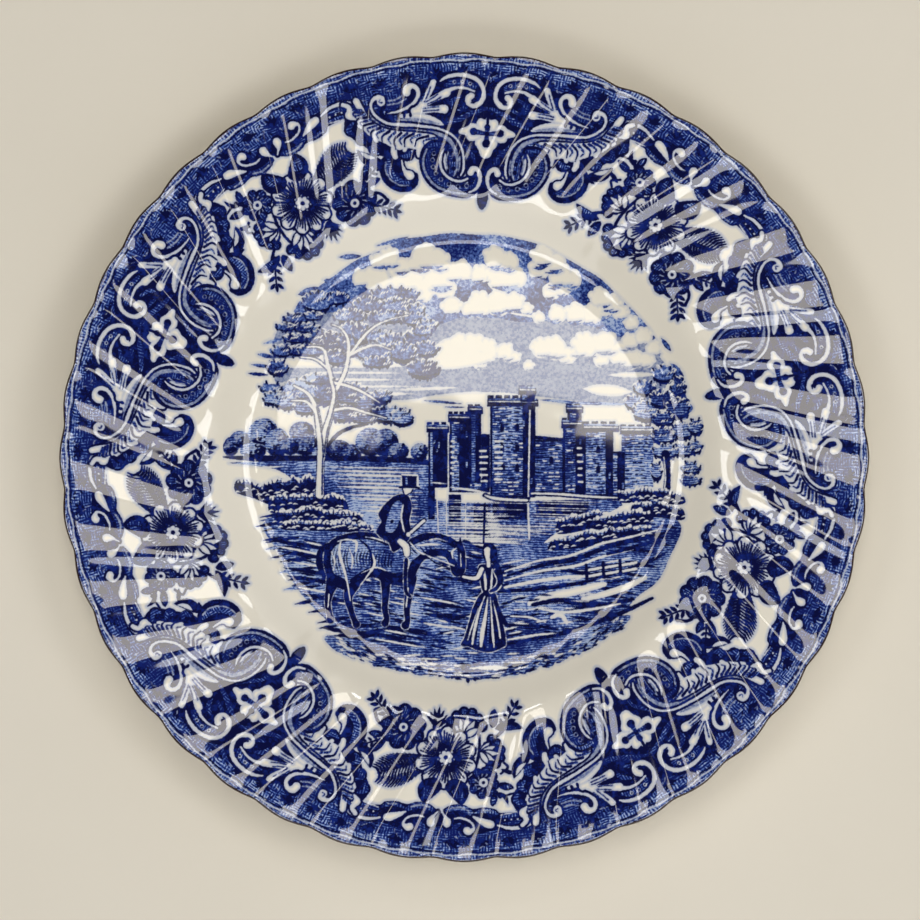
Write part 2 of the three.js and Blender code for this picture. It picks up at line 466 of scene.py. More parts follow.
def arm(sheet, side):
    """The long S-shaped arm, its volute, and the acanthus fringe along its outer side."""
    body = [
        (20.7, 116.0, 1.4), (20.1, 112.5, 2.2), (19.2, 109.4, 2.9), (17.6, 106.8, 3.4), (15.2, 105.0, 3.6),
        (12.2, 103.6, 3.6), (9.4, 102.2, 3.6), (7.4, 100.2, 3.4), (6.3, 97.4, 3.0), (5.95, 94.4, 2.9),
        (6.1, 91.6, 2.7), (6.5, 89.6, 2.0),
    ]
    # Dark leaf tips that the fingers spring from.
    sheet.area(NAVY, flip([
        (9.4, 99.0), (12.4, 97.4), (14.8, 95.8), (17.4, 97.6), (20.2, 99.6), (22.0, 103.6), (23.6, 107.4),
        (24.0, 110.6), (23.2, 113.6), (21.4, 116.8), (19.6, 112.0), (15.0, 104.6),
    ], side))
    for a, r, size in [
        (23.1, 109.4, 2.2), (21.8, 105.6, 2.3), (20.0, 101.4, 2.4), (17.4, 99.6, 2.2), (14.6, 97.6, 2.4),
        (12.6, 99.4, 2.0), (22.6, 112.4, 1.7),
    ]:
        sheet.dot(NAVY, (side * a, r), size)
    for lobe in [
        [(22.4, 111.2, 0.7), (23.5, 109.6, 1.6), (23.0, 107.9, 0.9)],
        [(21.4, 107.4, 0.7), (22.3, 105.8, 1.6), (21.5, 104.2, 0.9)],
        [(19.8, 103.0, 0.7), (20.8, 101.5, 1.7), (19.9, 99.9, 0.9)],
        [(13.6, 98.2, 0.6), (14.7, 96.9, 1.6), (15.8, 97.4, 0.8)],
    ]:
        sheet.stroke(MID, flip(lobe, side))
    sheet.stroke(NAVY, flip(body, side), grow=0.8)
    sheet.stroke(PALE, flip(body, side))
    sheet.stroke(MID, flip([(a + 0.25, r - 0.55, 0.62 * w) for a, r, w in body], side))
    sheet.stroke(NAVY, flip([(a + 0.3, r - 0.9, 0.16 * w) for a, r, w in body[:9]], side))
    fingers = [
        [(8.6, 99.8, 0.9), (10, 100.6, 1.3), (11.5, 100.1, 1.5), (12.4, 98.4, 1.6), (12.6, 96.4, 1.2)],
        [(11.4, 101.8, 1.0), (13, 101.7, 1.5), (14.3, 100.7, 1.7), (15.0, 98.9, 1.4)],
        [(13.6, 103.3, 1.0), (15.4, 102.7, 1.7), (16.6, 100.8, 1.9), (17.0, 98.8, 2.0), (16.9, 97.4, 1.7)],
        [(16.2, 105.0, 1.2), (17.8, 105.0, 1.8), (19.3, 104.9, 2.2), (19.5, 103.7, 1.3)],
        [(19.8, 109.4, 1.6), (20.4, 112.8, 1.9), (20.7, 115.6, 2.1), (20.9, 117.4, 2.1)],
        [(20.4, 110.8, 1.4), (21.4, 112.4, 2.0), (22.5, 113.8, 3.0)],
        [(22.4, 114.8, 1.8), (22.3, 116.2, 1.5), (23.0, 117.4, 1.4)],
        [(19.9, 107.6, 1.0), (21.0, 108.6, 1.4), (21.6, 109.8, 1.2)],
    ]
    web = [
        (8.6, 99.6), (10.6, 99.8), (12.2, 98.0), (14.2, 99.2), (16.2, 99.4), (18.2, 102.2), (20.4, 105.6),
        (21.4, 109.2), (21.9, 113.0), (20.8, 115.6), (20.1, 112.5), (19.2, 109.4), (17.6, 106.8),
        (15.2, 105), (12.2, 103.6), (9.4, 102.2),
    ]
    sheet.area(NAVY, flip(web, side), grow=0.6)
    for finger in fingers:
        sheet.stroke(NAVY, flip(finger, side), grow=0.6)
    sheet.area(CHINA, flip(web, side))
    for finger in fingers:
        sheet.stroke(CHINA, flip(finger, side))
    # Comb of curved blue veins from the arm out to the fringe.
    roots = smooth_path([
        (8.4, 101.0), (12.2, 103.0), (15.2, 104.4), (17.7, 106.4), (19.2, 109.2), (20.1, 112.4),
        (20.6, 114.6),
    ])
    tips = smooth_path([
        (11.8, 98.6), (14.4, 99.8), (16.8, 99.6), (19.6, 103.6), (21.3, 107.6), (22.2, 111.4),
        (21.8, 115.2),
    ])
    veins = 17
    for k in range(veins):
        pick = (k + 0.5) / veins * (len(roots) - 1)
        root = np.array([np.interp(pick, np.arange(len(roots)), roots[:, c]) for c in (0, 1)])
        tip = np.array([np.interp(pick, np.arange(len(tips)), tips[:, c]) for c in (0, 1)])
        middle = 0.5 * (root + tip) + (0.55, 0.75)
        end = root + (tip - root) * (0.95 if k % 2 else 0.72)
        sheet.stroke(NAVY if k % 2 else MID, flip([(*root, 0.85), (*middle, 0.6), (*end, 0.3)], side))
    for a, r in [(7.5, 99.0), (6.55, 96.6), (6.0, 94.0), (6.1, 91.4)]:
        sheet.dot(NAVY, (side * a, r), 0.72)
    light_line = [
        (17.2, 115.2, 2.7), (17.2, 116.3, 2.3), (17.9, 116.9, 1.5), (18.6, 116.1, 1.1), (18.95, 114.4, 0.9),
        (18.8, 112.4, 0.9), (18.2, 110.4, 0.9), (17.4, 108.8, 0.9), (16.4, 107.7, 0.9), (14.8, 106.9, 1.2),
        (12.6, 106.0, 1.0), (10.4, 105.0, 0.9), (8.6, 104.2, 0.8), (7.2, 103.1, 0.8), (5.9, 101.5, 0.8),
        (4.9, 99.2, 0.8), (4.3, 96.5, 0.8), (4.1, 93.6, 0.8), (4.2, 91.0, 0.8), (4.7, 89.2, 0.5),
    ]
    sheet.stroke(NAVY, flip([
        (17.0, 113.4, 1.6), (17.9, 112.2, 2.0), (17.4, 110.4, 1.8), (16.2, 109.2, 1.0),
    ], side))
    sheet.scroll(flip(light_line, side), outline=0.65)
    sheet.stroke(MID, flip([(17.1, 114.9, 0.5), (17.5, 115.3, 0.4), (17.3, 116.0, 0.3)], side))


def bottom_loop(sheet, side):
    """The beaded ring that the arm passes through, ending in a small volute."""
    ring = [
        (7.8, 98.6, 2.6), (9.6, 98.9, 2.8), (10.8, 97.2, 3.2), (11.3, 94.2, 3.6), (11.0, 91.0, 3.8),
        (9.9, 88.0, 3.8), (8.0, 85.9, 3.8), (5.6, 84.8, 3.6), (3.4, 84.6, 3.4), (1.9, 85.8, 2.8),
        (1.2, 88.0, 2.4),
    ]
    sheet.stroke(NAVY, flip(ring, side), grow=0.5)
    sheet.stroke(MID, flip([(a, r, 0.66 * w) for a, r, w in ring], side))
    sheet.stroke(NAVY, flip([(a + 0.4, r - 0.5, 0.22 * w) for a, r, w in ring], side))
    # Inner edge of the ring, over the arm.
    sheet.area(NAVY, flip([
        (7.6, 97.4), (9.3, 98.0), (10, 95.4), (9.9, 92), (8.9, 89.2), (8.0, 88.2), (8.8, 92), (8.4, 95.4),
    ], side))
    sheet.scroll(flip([
        (7.7, 97.8, 0.4), (8.35, 96.0, 0.8), (8.65, 93.6, 0.9), (8.4, 91.0, 0.9), (7.4, 88.9, 0.9),
        (5.9, 87.6, 0.9), (4.5, 87.5, 0.8), (3.3, 88.3, 0.7),
    ], side), outline=0.55)
    sheet.stroke(PALE, flip([
        (10.9, 98.0, 0.5), (11.7, 95.8, 0.7), (12.0, 92.9, 0.8), (11.5, 89.8, 0.8), (10.3, 86.9, 0.8),
        (8.3, 84.9, 0.8), (6, 83.9, 0.7), (4, 83.6, 0.6), (2.2, 84.0, 0.5),
    ], side))
    for a, r in [
        (9.7, 96.6), (10.1, 94.6), (10.1, 92.4), (9.7, 90.3), (8.8, 88.3), (7.2, 86.6), (5.3, 85.8),
        (3.5, 86.0),
    ]:
        sheet.dot(PALE, (side * a, r), 0.75)
        sheet.dot(NAVY, (side * a, r), 0.45)
    for line in [[(7.0, 96.6), (7.5, 94.2), (7.3, 91.4)], [(4.9, 95.0), (4.9, 92.6), (5.2, 90.4)]]:
        sheet.stroke(PALE, flip(line, side), width=0.45)
    sheet.scroll(flip([
        (2.7, 90.2, 2.2), (2.4, 91.2, 1.9), (1.7, 91.4, 1.6), (1.0, 90.3, 1.4), (0.75, 88.4, 1.3),
        (1.0, 86.4, 1.1), (1.7, 84.9, 0.9), (3.0, 84.0, 0.6),
    ], side), outline=0.6)


def hanging_scroll(sheet, side):
    """Dark hook with a white ball that hangs under the fringe."""
    hook = [
        (17.0, 98.2, 1.2), (18.7, 96.9, 3.2), (19.3, 94.0, 4.0), (18.9, 91.0, 4.1), (17.6, 88.6, 3.8),
        (15.9, 87.6, 3.2), (14.4, 88.4, 2.6), (13.9, 90.4, 2.0),
    ]
    sheet.stroke(NAVY, flip(hook, side))
    sheet.area(NAVY, flip([(16.0, 96.4), (18, 97), (18.6, 93), (17.6, 90), (15.8, 90), (15.8, 93)], side))
    sheet.stroke(MID, flip([
        (18.3, 97.0, 1.0), (18.7, 94.2, 2.2), (18.2, 91.2, 2.2), (17.0, 89.5, 1.9), (15.4, 88.5, 1.1),
    ], side))
    sheet.stroke(PALE, flip([
        (18.9, 96.6), (19.35, 94.0), (18.8, 90.9), (17.3, 88.5), (15.6, 87.8),
    ], side), width=0.5)
    sheet.stroke(NAVY, flip([(16.8, 95.4, 0.8), (17.2, 93.0, 1.6), (16.6, 90.8, 1.0)], side))
    sheet.scroll(flip([
        (15.9, 95.8, 0.6), (15.9, 93.6, 0.9), (15.6, 92.0, 1.6), (15.0, 90.9, 2.8), (14.9, 90.7, 2.7),
    ], side), outline=0.45)


def side_leaf(sheet, side):
    """A leaf that springs from under the fringe, half dark and half light."""
    sheet.leaf((side * 19.6, 97.0), (side * 23.2, 102.6), 3.6, bend=-side * 0.16)
    sheet.leaf((side * 20.6, 98.6), (side * 22.8, 102.0), 1.4, tone=CHINA, bend=-side * 0.12)
    sheet.leaf((side * 19.2, 96.8), (side * 21.4, 95.6), 1.5)


def cartouche_flower(sheet):
    """White flower of four lobes with dark eyes."""
    petals = [
        [(0.5, 103.4), (1.7, 105.2), (2.8, 105.5), (3.5, 104.6), (4.9, 103.6), (4.9, 102.3), (3.8, 101.6),
         (3.4, 100.2), (2.3, 99.9), (1.2, 101.0)],
        [(-1.3, 101.2), (-2.1, 99.4), (-1.4, 97.4), (-0.9, 95.3), (0, 94.7), (0.9, 95.3), (1.4, 97.4),
         (2.1, 99.4), (1.3, 101.2)],
        [(-1.2, 103.4), (-1.9, 105.6), (-1.3, 107.2), (-0.5, 106.9), (0, 107.9), (0.5, 106.9), (1.3, 107.2),
         (1.9, 105.6), (1.2, 103.4)],
    ]
    shapes = [petals[0], flip(petals[0], -1), petals[1], petals[2]]
    for shape in shapes:
        sheet.area(NAVY, shape, grow=0.7)
    for shape in shapes:
        sheet.area(CHINA, shape)
    sheet.dot(CHINA, (0, 102.4), 2.2)
    for a, r, size in [(2.35, 102.9, 1.15), (-2.35, 102.9, 1.15), (0, 99.4, 1.25), (0, 104.6, 0.9)]:
        sheet.stroke(MID, [(0, 102.4, 0.5), (a, r, 1.2)], grow=0.3, smooth=False)
        sheet.dot(NAVY, (a, r), size)
    sheet.dot(NAVY, (0, 102.4), 0.8)
    sheet.stroke(NAVY, [(0, 105.6), (0, 108.4)], width=0.8)


def bud(sheet):
    """The dark tip under the cartouche."""
    sheet.area(NAVY, [
        (-1.1, 83.6), (0, 84.6), (1.1, 83.6), (1.15, 81.6), (0.7, 79.7), (0, 78.9), (-0.7, 79.7),
        (-1.15, 81.6),
    ])


def garland_half(sheet, side):
    """Edging above a spray, counted from the spray's middle."""
    def put(points):
        return shifted(flip(points, side), SPRAY_MIDDLE)

    # China below the garland.
    sheet.area(CHINA, put([
        (0.6, 113.2), (-0.4, 111.6), (-1.8, 110.3), (-3.6, 110.2), (-5.6, 111.6), (-7.4, 111.3),
        (-9.0, 112.2), (-9.6, 113.4), (-12.6, 113.4), (-13.4, 111.6), (-14, 108), (-19, 104), (-20, 78),
        (0.6, 78),
    ]), smooth=False)
    # Dark leafy band with hatched crescents in it.
    sheet.area(NAVY, put([
        (0.4, 113.4), (-0.6, 111.4), (-2.0, 109.9), (-3.8, 109.8), (-5.4, 111.0), (-7.2, 110.7),
        (-9.0, 111.6), (-9.8, 113.0), (-12.2, 113.0), (-13.6, 112.0), (-14.8, 114.6), (-14.0, 118.4),
        (-10.4, 118.8), (-8.6, 118.4), (-5.4, 118.9), (-3.0, 117.8), (0.4, 116.8),
    ]))
    for crescent in [
        [(-0.5, 112.6, 0.6), (-1.7, 111.2, 1.5), (-3.3, 110.8, 1.9), (-4.7, 111.8, 1.6), (-5.6, 113.4, 0.8)],
        [(-5.8, 112.2, 0.5), (-7.0, 111.7, 1.2), (-8.4, 112.2, 1.3), (-9.3, 113.4, 0.6)],
        [(-9.8, 114.3, 0.7), (-11.4, 114.1, 1.2), (-13.2, 113.6, 1.3)],
        [(-2.0, 118.6, 0.8), (-2.6, 116.8, 1.6), (-3.3, 115.7, 0.8)],
        [(-9.2, 117.0, 1.0), (-11.2, 116.6, 1.2), (-13.4, 116.2, 1.0)],
    ]:
        sheet.stroke(MID, put(crescent))
        sheet.stroke(PALE, put([(a, r - 0.2, 0.32 * w) for a, r, w in crescent[1:-1]]))
    for a in (-10.4, -11.4, -12.4, -13.3):
        sheet.dot(CHINA, put([(a, 115.4)])[0], 0.36)
    sheet.scroll(put([
        (-14.8, 117.0, 0.7), (-13.4, 117.8, 1.2), (-12, 118.1, 1.2), (-10.6, 117.9, 1.1),
        (-9.2, 116.9, 0.7),
    ]), outline=0.5)
    sheet.scroll(put([
        (-5.4, 113.4, 0.6), (-6.4, 114.6, 1.7), (-7.6, 115.9, 2.7), (-8.1, 116.3, 2.6),
    ]), outline=0.6)
    sheet.stroke(CHINA, put([(-9.8, 113.7, 0.4), (-11.4, 113.3, 0.6), (-13.0, 112.9, 0.4)]))
    sheet.scroll(put([
        (-4.4, 117.7, 2.4), (-4.7, 118.0, 2.2), (-5.4, 117.4, 1.1), (-5.4, 116.2, 0.8),
        (-4.8, 114.8, 0.8), (-3.4, 113.9, 0.8), (-2.4, 114.2, 0.5),
    ]), outline=0.7)
    sheet.scroll(put([
        (-0.3, 112.2, 0.5), (-0.9, 113.6, 1.0), (-1.25, 115.2, 2.5), (-1.25, 115.9, 2.6),
    ]), outline=0.7)


def layered_flower(sheet, centre, radius, petals):
    """A many-petalled flower: china petals with dark folds, and a star in the middle."""
    pitch = 2 * np.pi / petals
    scallop = []
    for k in range(petals):
        for part, reach in ((-0.36, 0.93), (-0.14, 1.03), (0.14, 1.03), (0.36, 0.93), (0.5, 0.84)):
            scallop.append(around(sheet, centre, (k + part) * pitch, radius * reach))
    sheet.area(NAVY, scallop, grow=0.45)
    sheet.area(CHINA, scallop, grow=-0.15)
    for k in range(petals):
        fold = (k + 0.5) * pitch
        sheet.stroke(NAVY, [(*around(sheet, centre, fold, radius * 0.3), 0.8),
                            (*around(sheet, centre, fold, radius * 0.95), 0.6)], smooth=False)
        for part, outer, width in (
            (-0.27, 0.9, 0.5), (-0.09, 0.82, 0.55), (0.09, 0.78, 0.55), (0.27, 0.9, 0.5),
        ):
            turn = (k + part) * pitch
            sheet.stroke(NAVY, [
                (*around(sheet, centre, turn, radius * 0.26), 0.75),
                (*around(sheet, centre, turn, radius * 0.55), 0.55),
                (*around(sheet, centre, turn + 0.04, radius * outer), width * 0.8),
            ], smooth=False)
        sheet.stroke(PALE, [(*around(sheet, centre, (k + 0.36) * pitch, radius * 0.55), 0.3),
                            (*around(sheet, centre, (k + 0.36) * pitch, radius * 0.86), 0.4)], smooth=False)
    sheet.dot(NAVY, centre, radius * 0.32)
    stamens = 7
    for k in range(stamens):
        turn = k * 2 * np.pi / stamens
        sheet.dot(PALE, around(sheet, centre, turn + 0.4, radius * 0.27), 0.3)
        sheet.dot(CHINA, around(sheet, centre, turn, radius * 0.16), 0.75)
    sheet.dot(CHINA, centre, radius * 0.16)
    sheet.dot(NAVY, centre, radius * 0.07)


def round_flower(sheet, centre, radius, petals, eye):
    """A dark flower of hatched round petals about a white eye."""
    sheet.dot(NAVY, centre, radius * 0.7)
    for k in range(petals):
        turn = (k + 0.3) * 2 * np.pi / petals
        sheet.dot(NAVY, around(sheet, centre, turn, radius * 0.68), radius * 0.34)
        for part in (-0.2, 0.0, 0.2):
            lean = turn + part * 2 * np.pi / petals
            tip = radius * (0.9 - 0.5 * abs(part))
            sheet.stroke(MID, [
                (*around(sheet, centre, lean, radius * 0.56), 0.3), (*around(sheet, centre, lean, tip), 0.62),
            ], smooth=False)
    for k in range(petals + 3):
        turn = k * 2 * np.pi / (petals + 3)
        sheet.stroke(PALE, [(*around(sheet, centre, turn, radius * 0.36), 0.3),
                            (*around(sheet, centre, turn + 0.2, radius * 0.54), 0.5)], smooth=False)
    sheet.dot(CHINA, centre, radius * eye)
    sheet.dot(NAVY, centre, radius * eye * 0.35)


def fan(sheet, root, aim, blades, spread, reach, width, tone=NAVY, rim=None, bend=0.0):
    """Pointed blades that spring from one root, the middle one longest."""
    for lean in np.linspace(-1, 1, blades):
        tip = around(sheet, root, aim + spread * lean, reach * (1 - 0.28 * abs(lean)))
        sheet.leaf(root, tip, width, tone=tone, rim=rim, bend=bend * lean, outline=0.42)


def side_flower(sheet, root, aim, reach):
    """A flower seen from the side: dark hatched petals behind a fan of white ones."""
    middle = around(sheet, root, aim, reach * 0.5)
    sheet.dot(NAVY, middle, reach * 0.5)
    for lean in np.linspace(-1.1, 1.1, 6):
        place = around(sheet, root, aim + lean * 0.86, reach * (1.0 - 0.16 * abs(lean)))
        sheet.dot(NAVY, place, reach * 0.24)
        sheet.dot(
            MID, around(sheet, root, aim + lean * 0.86, reach * (1.04 - 0.16 * abs(lean))), reach * 0.11,
        )
    fan(sheet, root, aim, 5, 0.92, reach * 0.88, reach * 0.24, tone=CHINA, rim=NAVY)


def fern(sheet, base, tip, spread, barbs=13):
    """A fern leaf: a dark spine and fine curved barbs, with light slits between them."""
    stretch, root, along, ahead, across = sheet.spine(base, tip)
    sheet.leaf(base, tip, spread * 0.62)
    for k in range(barbs):
        t = (k + 0.3) / barbs
        start = root + along * t
        reach = spread * (0.45 + 0.75 * np.sin(np.pi * min(0.12 + 0.86 * t, 1)))
        for side in (1, -1):
            middle = start + across * side * reach * 0.5 + ahead * reach * 0.16
            end = start + across * side * reach * 0.86 + ahead * reach * 0.62
            sheet.stroke(NAVY, np.column_stack([np.array([start, middle, end]) / stretch, [0.85, 0.75, 0.3]]))
    for k in range(barbs - 2):
        start = root + along * (k + 1.2) / barbs
        end = start + across * spread * 0.3 + ahead * spread * 0.2
        sheet.stroke(CHINA, np.column_stack([np.array([start, end]) / stretch, [0.3, 0.36]]), smooth=False)


def sprig(sheet, base, tip, pairs, size):
    """A thin stem whose small leaves curve forward on both sides."""
    stretch, root, along, ahead, across = sheet.spine(base, tip)
    sheet.stroke(NAVY, [(*base, 0.7), (*tip, 0.4)], smooth=False)
    for k in range(pairs):
        start = root + along * (0.15 + 0.8 * k / (pairs - 1))
        for side in (1, -1):
            near = start + size * (across * side * 0.12 + ahead * 0.1)
            far = start + size * (across * side * 0.72 + ahead * 0.62)
            sheet.leaf(near / stretch, far / stretch, size * 0.36)
    end = root + along + ahead * size * 0.8
    sheet.leaf(tip, end / stretch, size * 0.36)


def dark_leaf(sheet, base, tip, width, bend=0.0):
    """A navy leaf with a hatched heart."""
    base, tip = np.array(base, float), np.array(tip, float)
    sheet.leaf(base, tip, width, bend=bend)
    sheet.leaf(base + (tip - base) * 0.3, base + (tip - base) * 0.82, width * 0.45, tone=MID, bend=bend * 0.8)


def spray(sheet):
    """The bunch of flowers between two cartouches, counted from its middle."""
    m = SPRAY_MIDDLE
    # Stems behind everything.
    for stem in [
        [(m - 6.0, 98.5), (m - 6.8, 94), (m - 7.0, 88), (m - 5.4, 83)],
        [(m + 2, 90), (m + 2.4, 86), (m + 2.2, 82)], [(m + 11, 89), (m + 14, 88), (m + 15.5, 85)],
        [(m - 8, 91), (m - 11, 88.6), (m - 13.4, 86)], [(m - 7.6, 103), (m - 9.4, 106), (m - 10, 108)],
    ]:
        sheet.stroke(NAVY, stem, width=0.9)
    fern(sheet, (m + 3.6, 97.0), (m + 11.4, 103.6), 5.0, 15)
    round_flower(sheet, (m + 8.7, 87.6), 7.2, 9, 0.2)
    # Leaves, ferns and sprigs at the right.
    dark_leaf(sheet, (m + 11.6, 92.6), (m + 14.2, 98.4), 2.4)
    dark_leaf(sheet, (m + 12.4, 91.4), (m + 15.2, 92.2), 2.2)
    sprig(sheet, (m + 12.6, 93.0), (m + 14.8, 95.4), 3, 2.2)
    sprig(sheet, (m + 12.0, 85.4), (m + 16.2, 81.6), 4, 3.2)
    # Side-view flowers at the left and below.
    side_flower(sheet, (m - 7.2, 93.6), np.radians(-82), 6.6)
    side_flower(sheet, (m - 4.2, 88.4), np.radians(188), 7.6)
    fan(sheet, (m + 1.9, 86.4), np.radians(184), 7, 0.85, 6.8, 1.3, bend=0.1)
    sprig(sheet, (m - 11.5, 87.4), (m - 15.4, 81.0), 4, 3.0)
    dark_leaf(sheet, (m - 10.6, 86.6), (m - 16.2, 87.8), 3.0, bend=0.12)
    dark_leaf(sheet, (m - 10.0, 86.0), (m - 10.8, 80.6), 2.9)
    # The main flower, and the small one beside it.
    round_flower(sheet, (m - 7.4, 103.0), 5.0, 8, 0.3)
    layered_flower(sheet, (m - 0.5, 95.2), 9.4, 10)
    # Two broad leaves above the main flower.
    for side in (1, -1):
        sheet.area(
            NAVY,
            shifted(flip([
                (0.5, 103.2), (0.4, 105.0), (1.6, 107.6), (3.1, 109.8), (4.2, 107.4), (4.3, 104.6),
                (3.3, 102.4), (1.7, 101.6),
            ], side), m - 0.4),
        )
        sheet.area(
            MID, shifted(flip([(1.5, 105.6), (2.9, 108.6), (3.6, 106.4), (2.8, 104.4)], side), m - 0.4),
        )
        sheet.stroke(NAVY, shifted(flip([(2.2, 103.4), (2.9, 108.4)], side), m - 0.4), width=0.45)
    # Buds and curved leaves at the upper left.
    dark_leaf(sheet, (m - 9.2, 106.6), (m - 8.6, 110.6), 2.3)
    sheet.leaf((m - 9.4, 106.4), (m - 11.2, 110.8), 1.3, bend=0.2)
    dark_leaf(sheet, (m - 9.9, 104.0), (m - 12.6, 105.6), 2.4)
    sheet.stroke(NAVY, [(m - 9.0, 106.6), (m - 10.8, 107.6), (m - 12.6, 107.2)], width=0.6)
    sheet.stroke(NAVY, [(m - 10.6, 100.6), (m - 12.0, 99.0), (m - 11.4, 97.4)], width=0.7)
    sheet.leaf((m - 10.8, 99.4), (m - 13.2, 101.4), 1.3)


def draw_border(sheet, rng):
    """One repeat: ground and garlands, then the spray, then the cartouche over its scrolls."""
    rim_ground(sheet, rng)
    for side in (1, -1):
        garland_half(sheet, side)
    spray(sheet)
    cartouche_ground(sheet)
    for side in (1, -1):
        second_curl(sheet, side)
        coral_leaf(sheet, side)
        hanging_scroll(sheet, side)
        side_leaf(sheet, side)
        arm(sheet, side)
        top_scroll(sheet, side)
        bottom_loop(sheet, side)
    cartouche_flower(sheet)
    bud(sheet)


# ---- Centre print --------------------------------------------------------------------
#
# An invented view in the manner of old printed ware: a castle over a lake, a great tree,
# and two small figures with a horse. Millimetres from the plate's centre, x right, y up.

# Below this height the sky and the cloud undersides are printed paler: a painted reflection of the softbox's
# wash on the glaze.
PAINTED_WASH_TOP = 45  # above this height the sky is a deeper blue


def ragged(points, rng, amount=0.8):
    """An outline with each point nudged a little."""
    points = np.array(points, float)
    return points + rng.uniform(-amount, amount, points.shape)


def on_oval(centre, wide, tall, turn, reach=1.0):
    """The place on an oval at a turn, or a share of the way out to it."""
    return centre[0] + wide * reach * np.cos(turn), centre[1] + tall * reach * np.sin(turn)


def clump(sheet, rng, centre, wide, tall):
    """A mass of leaves: hatched lobes, shaded underneath, with a fringe of leaf ticks."""
    size = 0.3 * min(wide, tall) + 0.3
    count = max(6, int((wide + tall) * 1.1))
    outline = []
    for k in range(count):
        turn = 2 * np.pi * (k + rng.uniform(-0.25, 0.25)) / count
        reach = rng.uniform(0.84, 1.06)
        outline.append(on_oval(centre, wide - size * 0.6, tall - size * 0.6, turn, reach))
    sheet.area(MID, outline)
    for place in outline:
        sheet.dot(MID, place, size * rng.uniform(0.75, 1.1))
    # Shade along the underside.
    under = []
    for turn, reach, share in [
        (200, 0.95, 0.3), (232, 0.86, 1.2), (270, 0.84, 1.5), (308, 0.86, 1.2), (340, 0.95, 0.3),
    ]:
        under.append((*on_oval(centre, wide, tall, np.radians(turn), reach), share * tall * 0.3))
    sheet.stroke(NAVY, under, steps=4)
    # Light scallops part it from the mass behind.
    scallops = int(wide * 1.1) + 2
    for k in range(scallops):
        turn = np.radians(165 - 150 * (k + 0.5) / scallops)
        x, y = on_oval(centre, wide * 1.02, tall, turn)
        sheet.stroke(CHINA, [
            (x - 0.75, y - 0.35, 0.3), (x - 0.2, y + 0.35, 0.5), (x + 0.6, y - 0.1, 0.3),
        ], steps=3)
    ticks = int((wide + tall) * 2.2)
    for k in range(ticks):
        turn = 2 * np.pi * (k + rng.uniform(-0.3, 0.3)) / ticks
        reach = rng.uniform(0.86, 1.08)
        x, y = on_oval(centre, wide, tall, turn, reach)
        lean = 0.5 * np.cos(turn)
        if np.sin(turn) > -0.2 and k % 2:
            sheet.stroke(CHINA, [
                (x - 0.45 * lean, y - 0.5), (x + 0.45 * lean, y + 0.35),
            ], width=0.42, smooth=False)
        else:
            sheet.stroke(NAVY, [
                (x - 0.4 * lean, y - 0.45), (x + 0.4 * lean, y + 0.3),
            ], width=0.62, smooth=False)
    for k in range(int(wide * tall * 0.16) + 1):
        turn, reach = rng.uniform(0, 2 * np.pi), rng.uniform(0.1, 0.7)
        x, y = on_oval(centre, wide, tall, turn, reach)
        for step in range(3):
            left, low = x + 0.9 * step, y + 0.2 * step
            sheet.stroke((CHINA, NAVY)[k % 2], [
                (left, low), (left + 0.5, low + 0.6),
            ], width=0.42, smooth=False)


def bush(sheet, rng, centre, wide, tall):
    """A rounded bush, light above and dark to the right and below."""
    cx, cy = centre
    outline = [
        (cx + wide * np.cos(t) * rng.uniform(0.94, 1.05), cy + tall * np.sin(t) * rng.uniform(0.94, 1.05))
        for t in np.radians(np.arange(0, 360, 36))
    ]
    sheet.area(MID, outline, grow=0.2)
    shade = [
        on_oval(centre, wide, tall, np.radians(turn), reach)
        for turn, reach in [(60, 0.95), (20, 1), (-20, 1), (-60, 1), (-110, 1), (-160, 0.95)]
    ]
    sheet.area(NAVY, shade + [
        (cx + a * wide, cy + b * tall)
        for a, b in [(-0.1, -0.55), (0.4, -0.2), (0.5, 0.4)]
    ])
    for _ in range(int(4 * (wide + tall))):
        turn, reach = rng.uniform(-2.6, 1.4), rng.uniform(0.2, 1.02)
        sheet.dot(NAVY, on_oval(centre, wide, tall, turn, reach), 0.46)
        turn, reach = rng.uniform(0.8, 3.6), rng.uniform(0.3, 0.95)
        sheet.dot(PALE, on_oval(centre, wide, tall, turn, reach), 0.3)


def cloud(sheet, rng, puffs):
    """Overlapping round puffs, each with a few smaller ones on its upper half."""
    for x, y, size in puffs:
        sheet.dot(CHINA, (x, y), size * 0.94)
        for _ in range(3):
            turn = rng.uniform(0, np.pi)
            sheet.dot(CHINA, on_oval((x, y), size * 0.8, size * 0.7, turn), size * 0.4)
    # The undersides are cut flat by ragged streaks of the sky.
    for x, y, size in puffs:
        # Below the wash line the streaks are paler, a painted reflection.
        under = MID if y > PAINTED_WASH_TOP else PALE
        for _ in range(3):
            left, drop = x - size * rng.uniform(0.1, 1.0), y - size * rng.uniform(0.62, 0.95)
            streak = [
                (left, drop, 0.2), (left + size * 0.5, drop - 0.2, size * 0.2),
                (left + size, drop + 0.3, 0.2),
            ]
            sheet.stroke(under, streak, steps=3)


def band(sheet, tone, start, end, width, sag=0.0):
    """A tapered streak between two places."""
    (x0, y0), (x1, y1) = start, end
    sheet.stroke(tone, [(x0, y0, 0.15), (x0 * 0.7 + x1 * 0.3, y0 * 0.7 + y1 * 0.3 - sag, width),
                        (x0 * 0.3 + x1 * 0.7, y0 * 0.3 + y1 * 0.7 - sag, width), (x1, y1, 0.15)], steps=4)


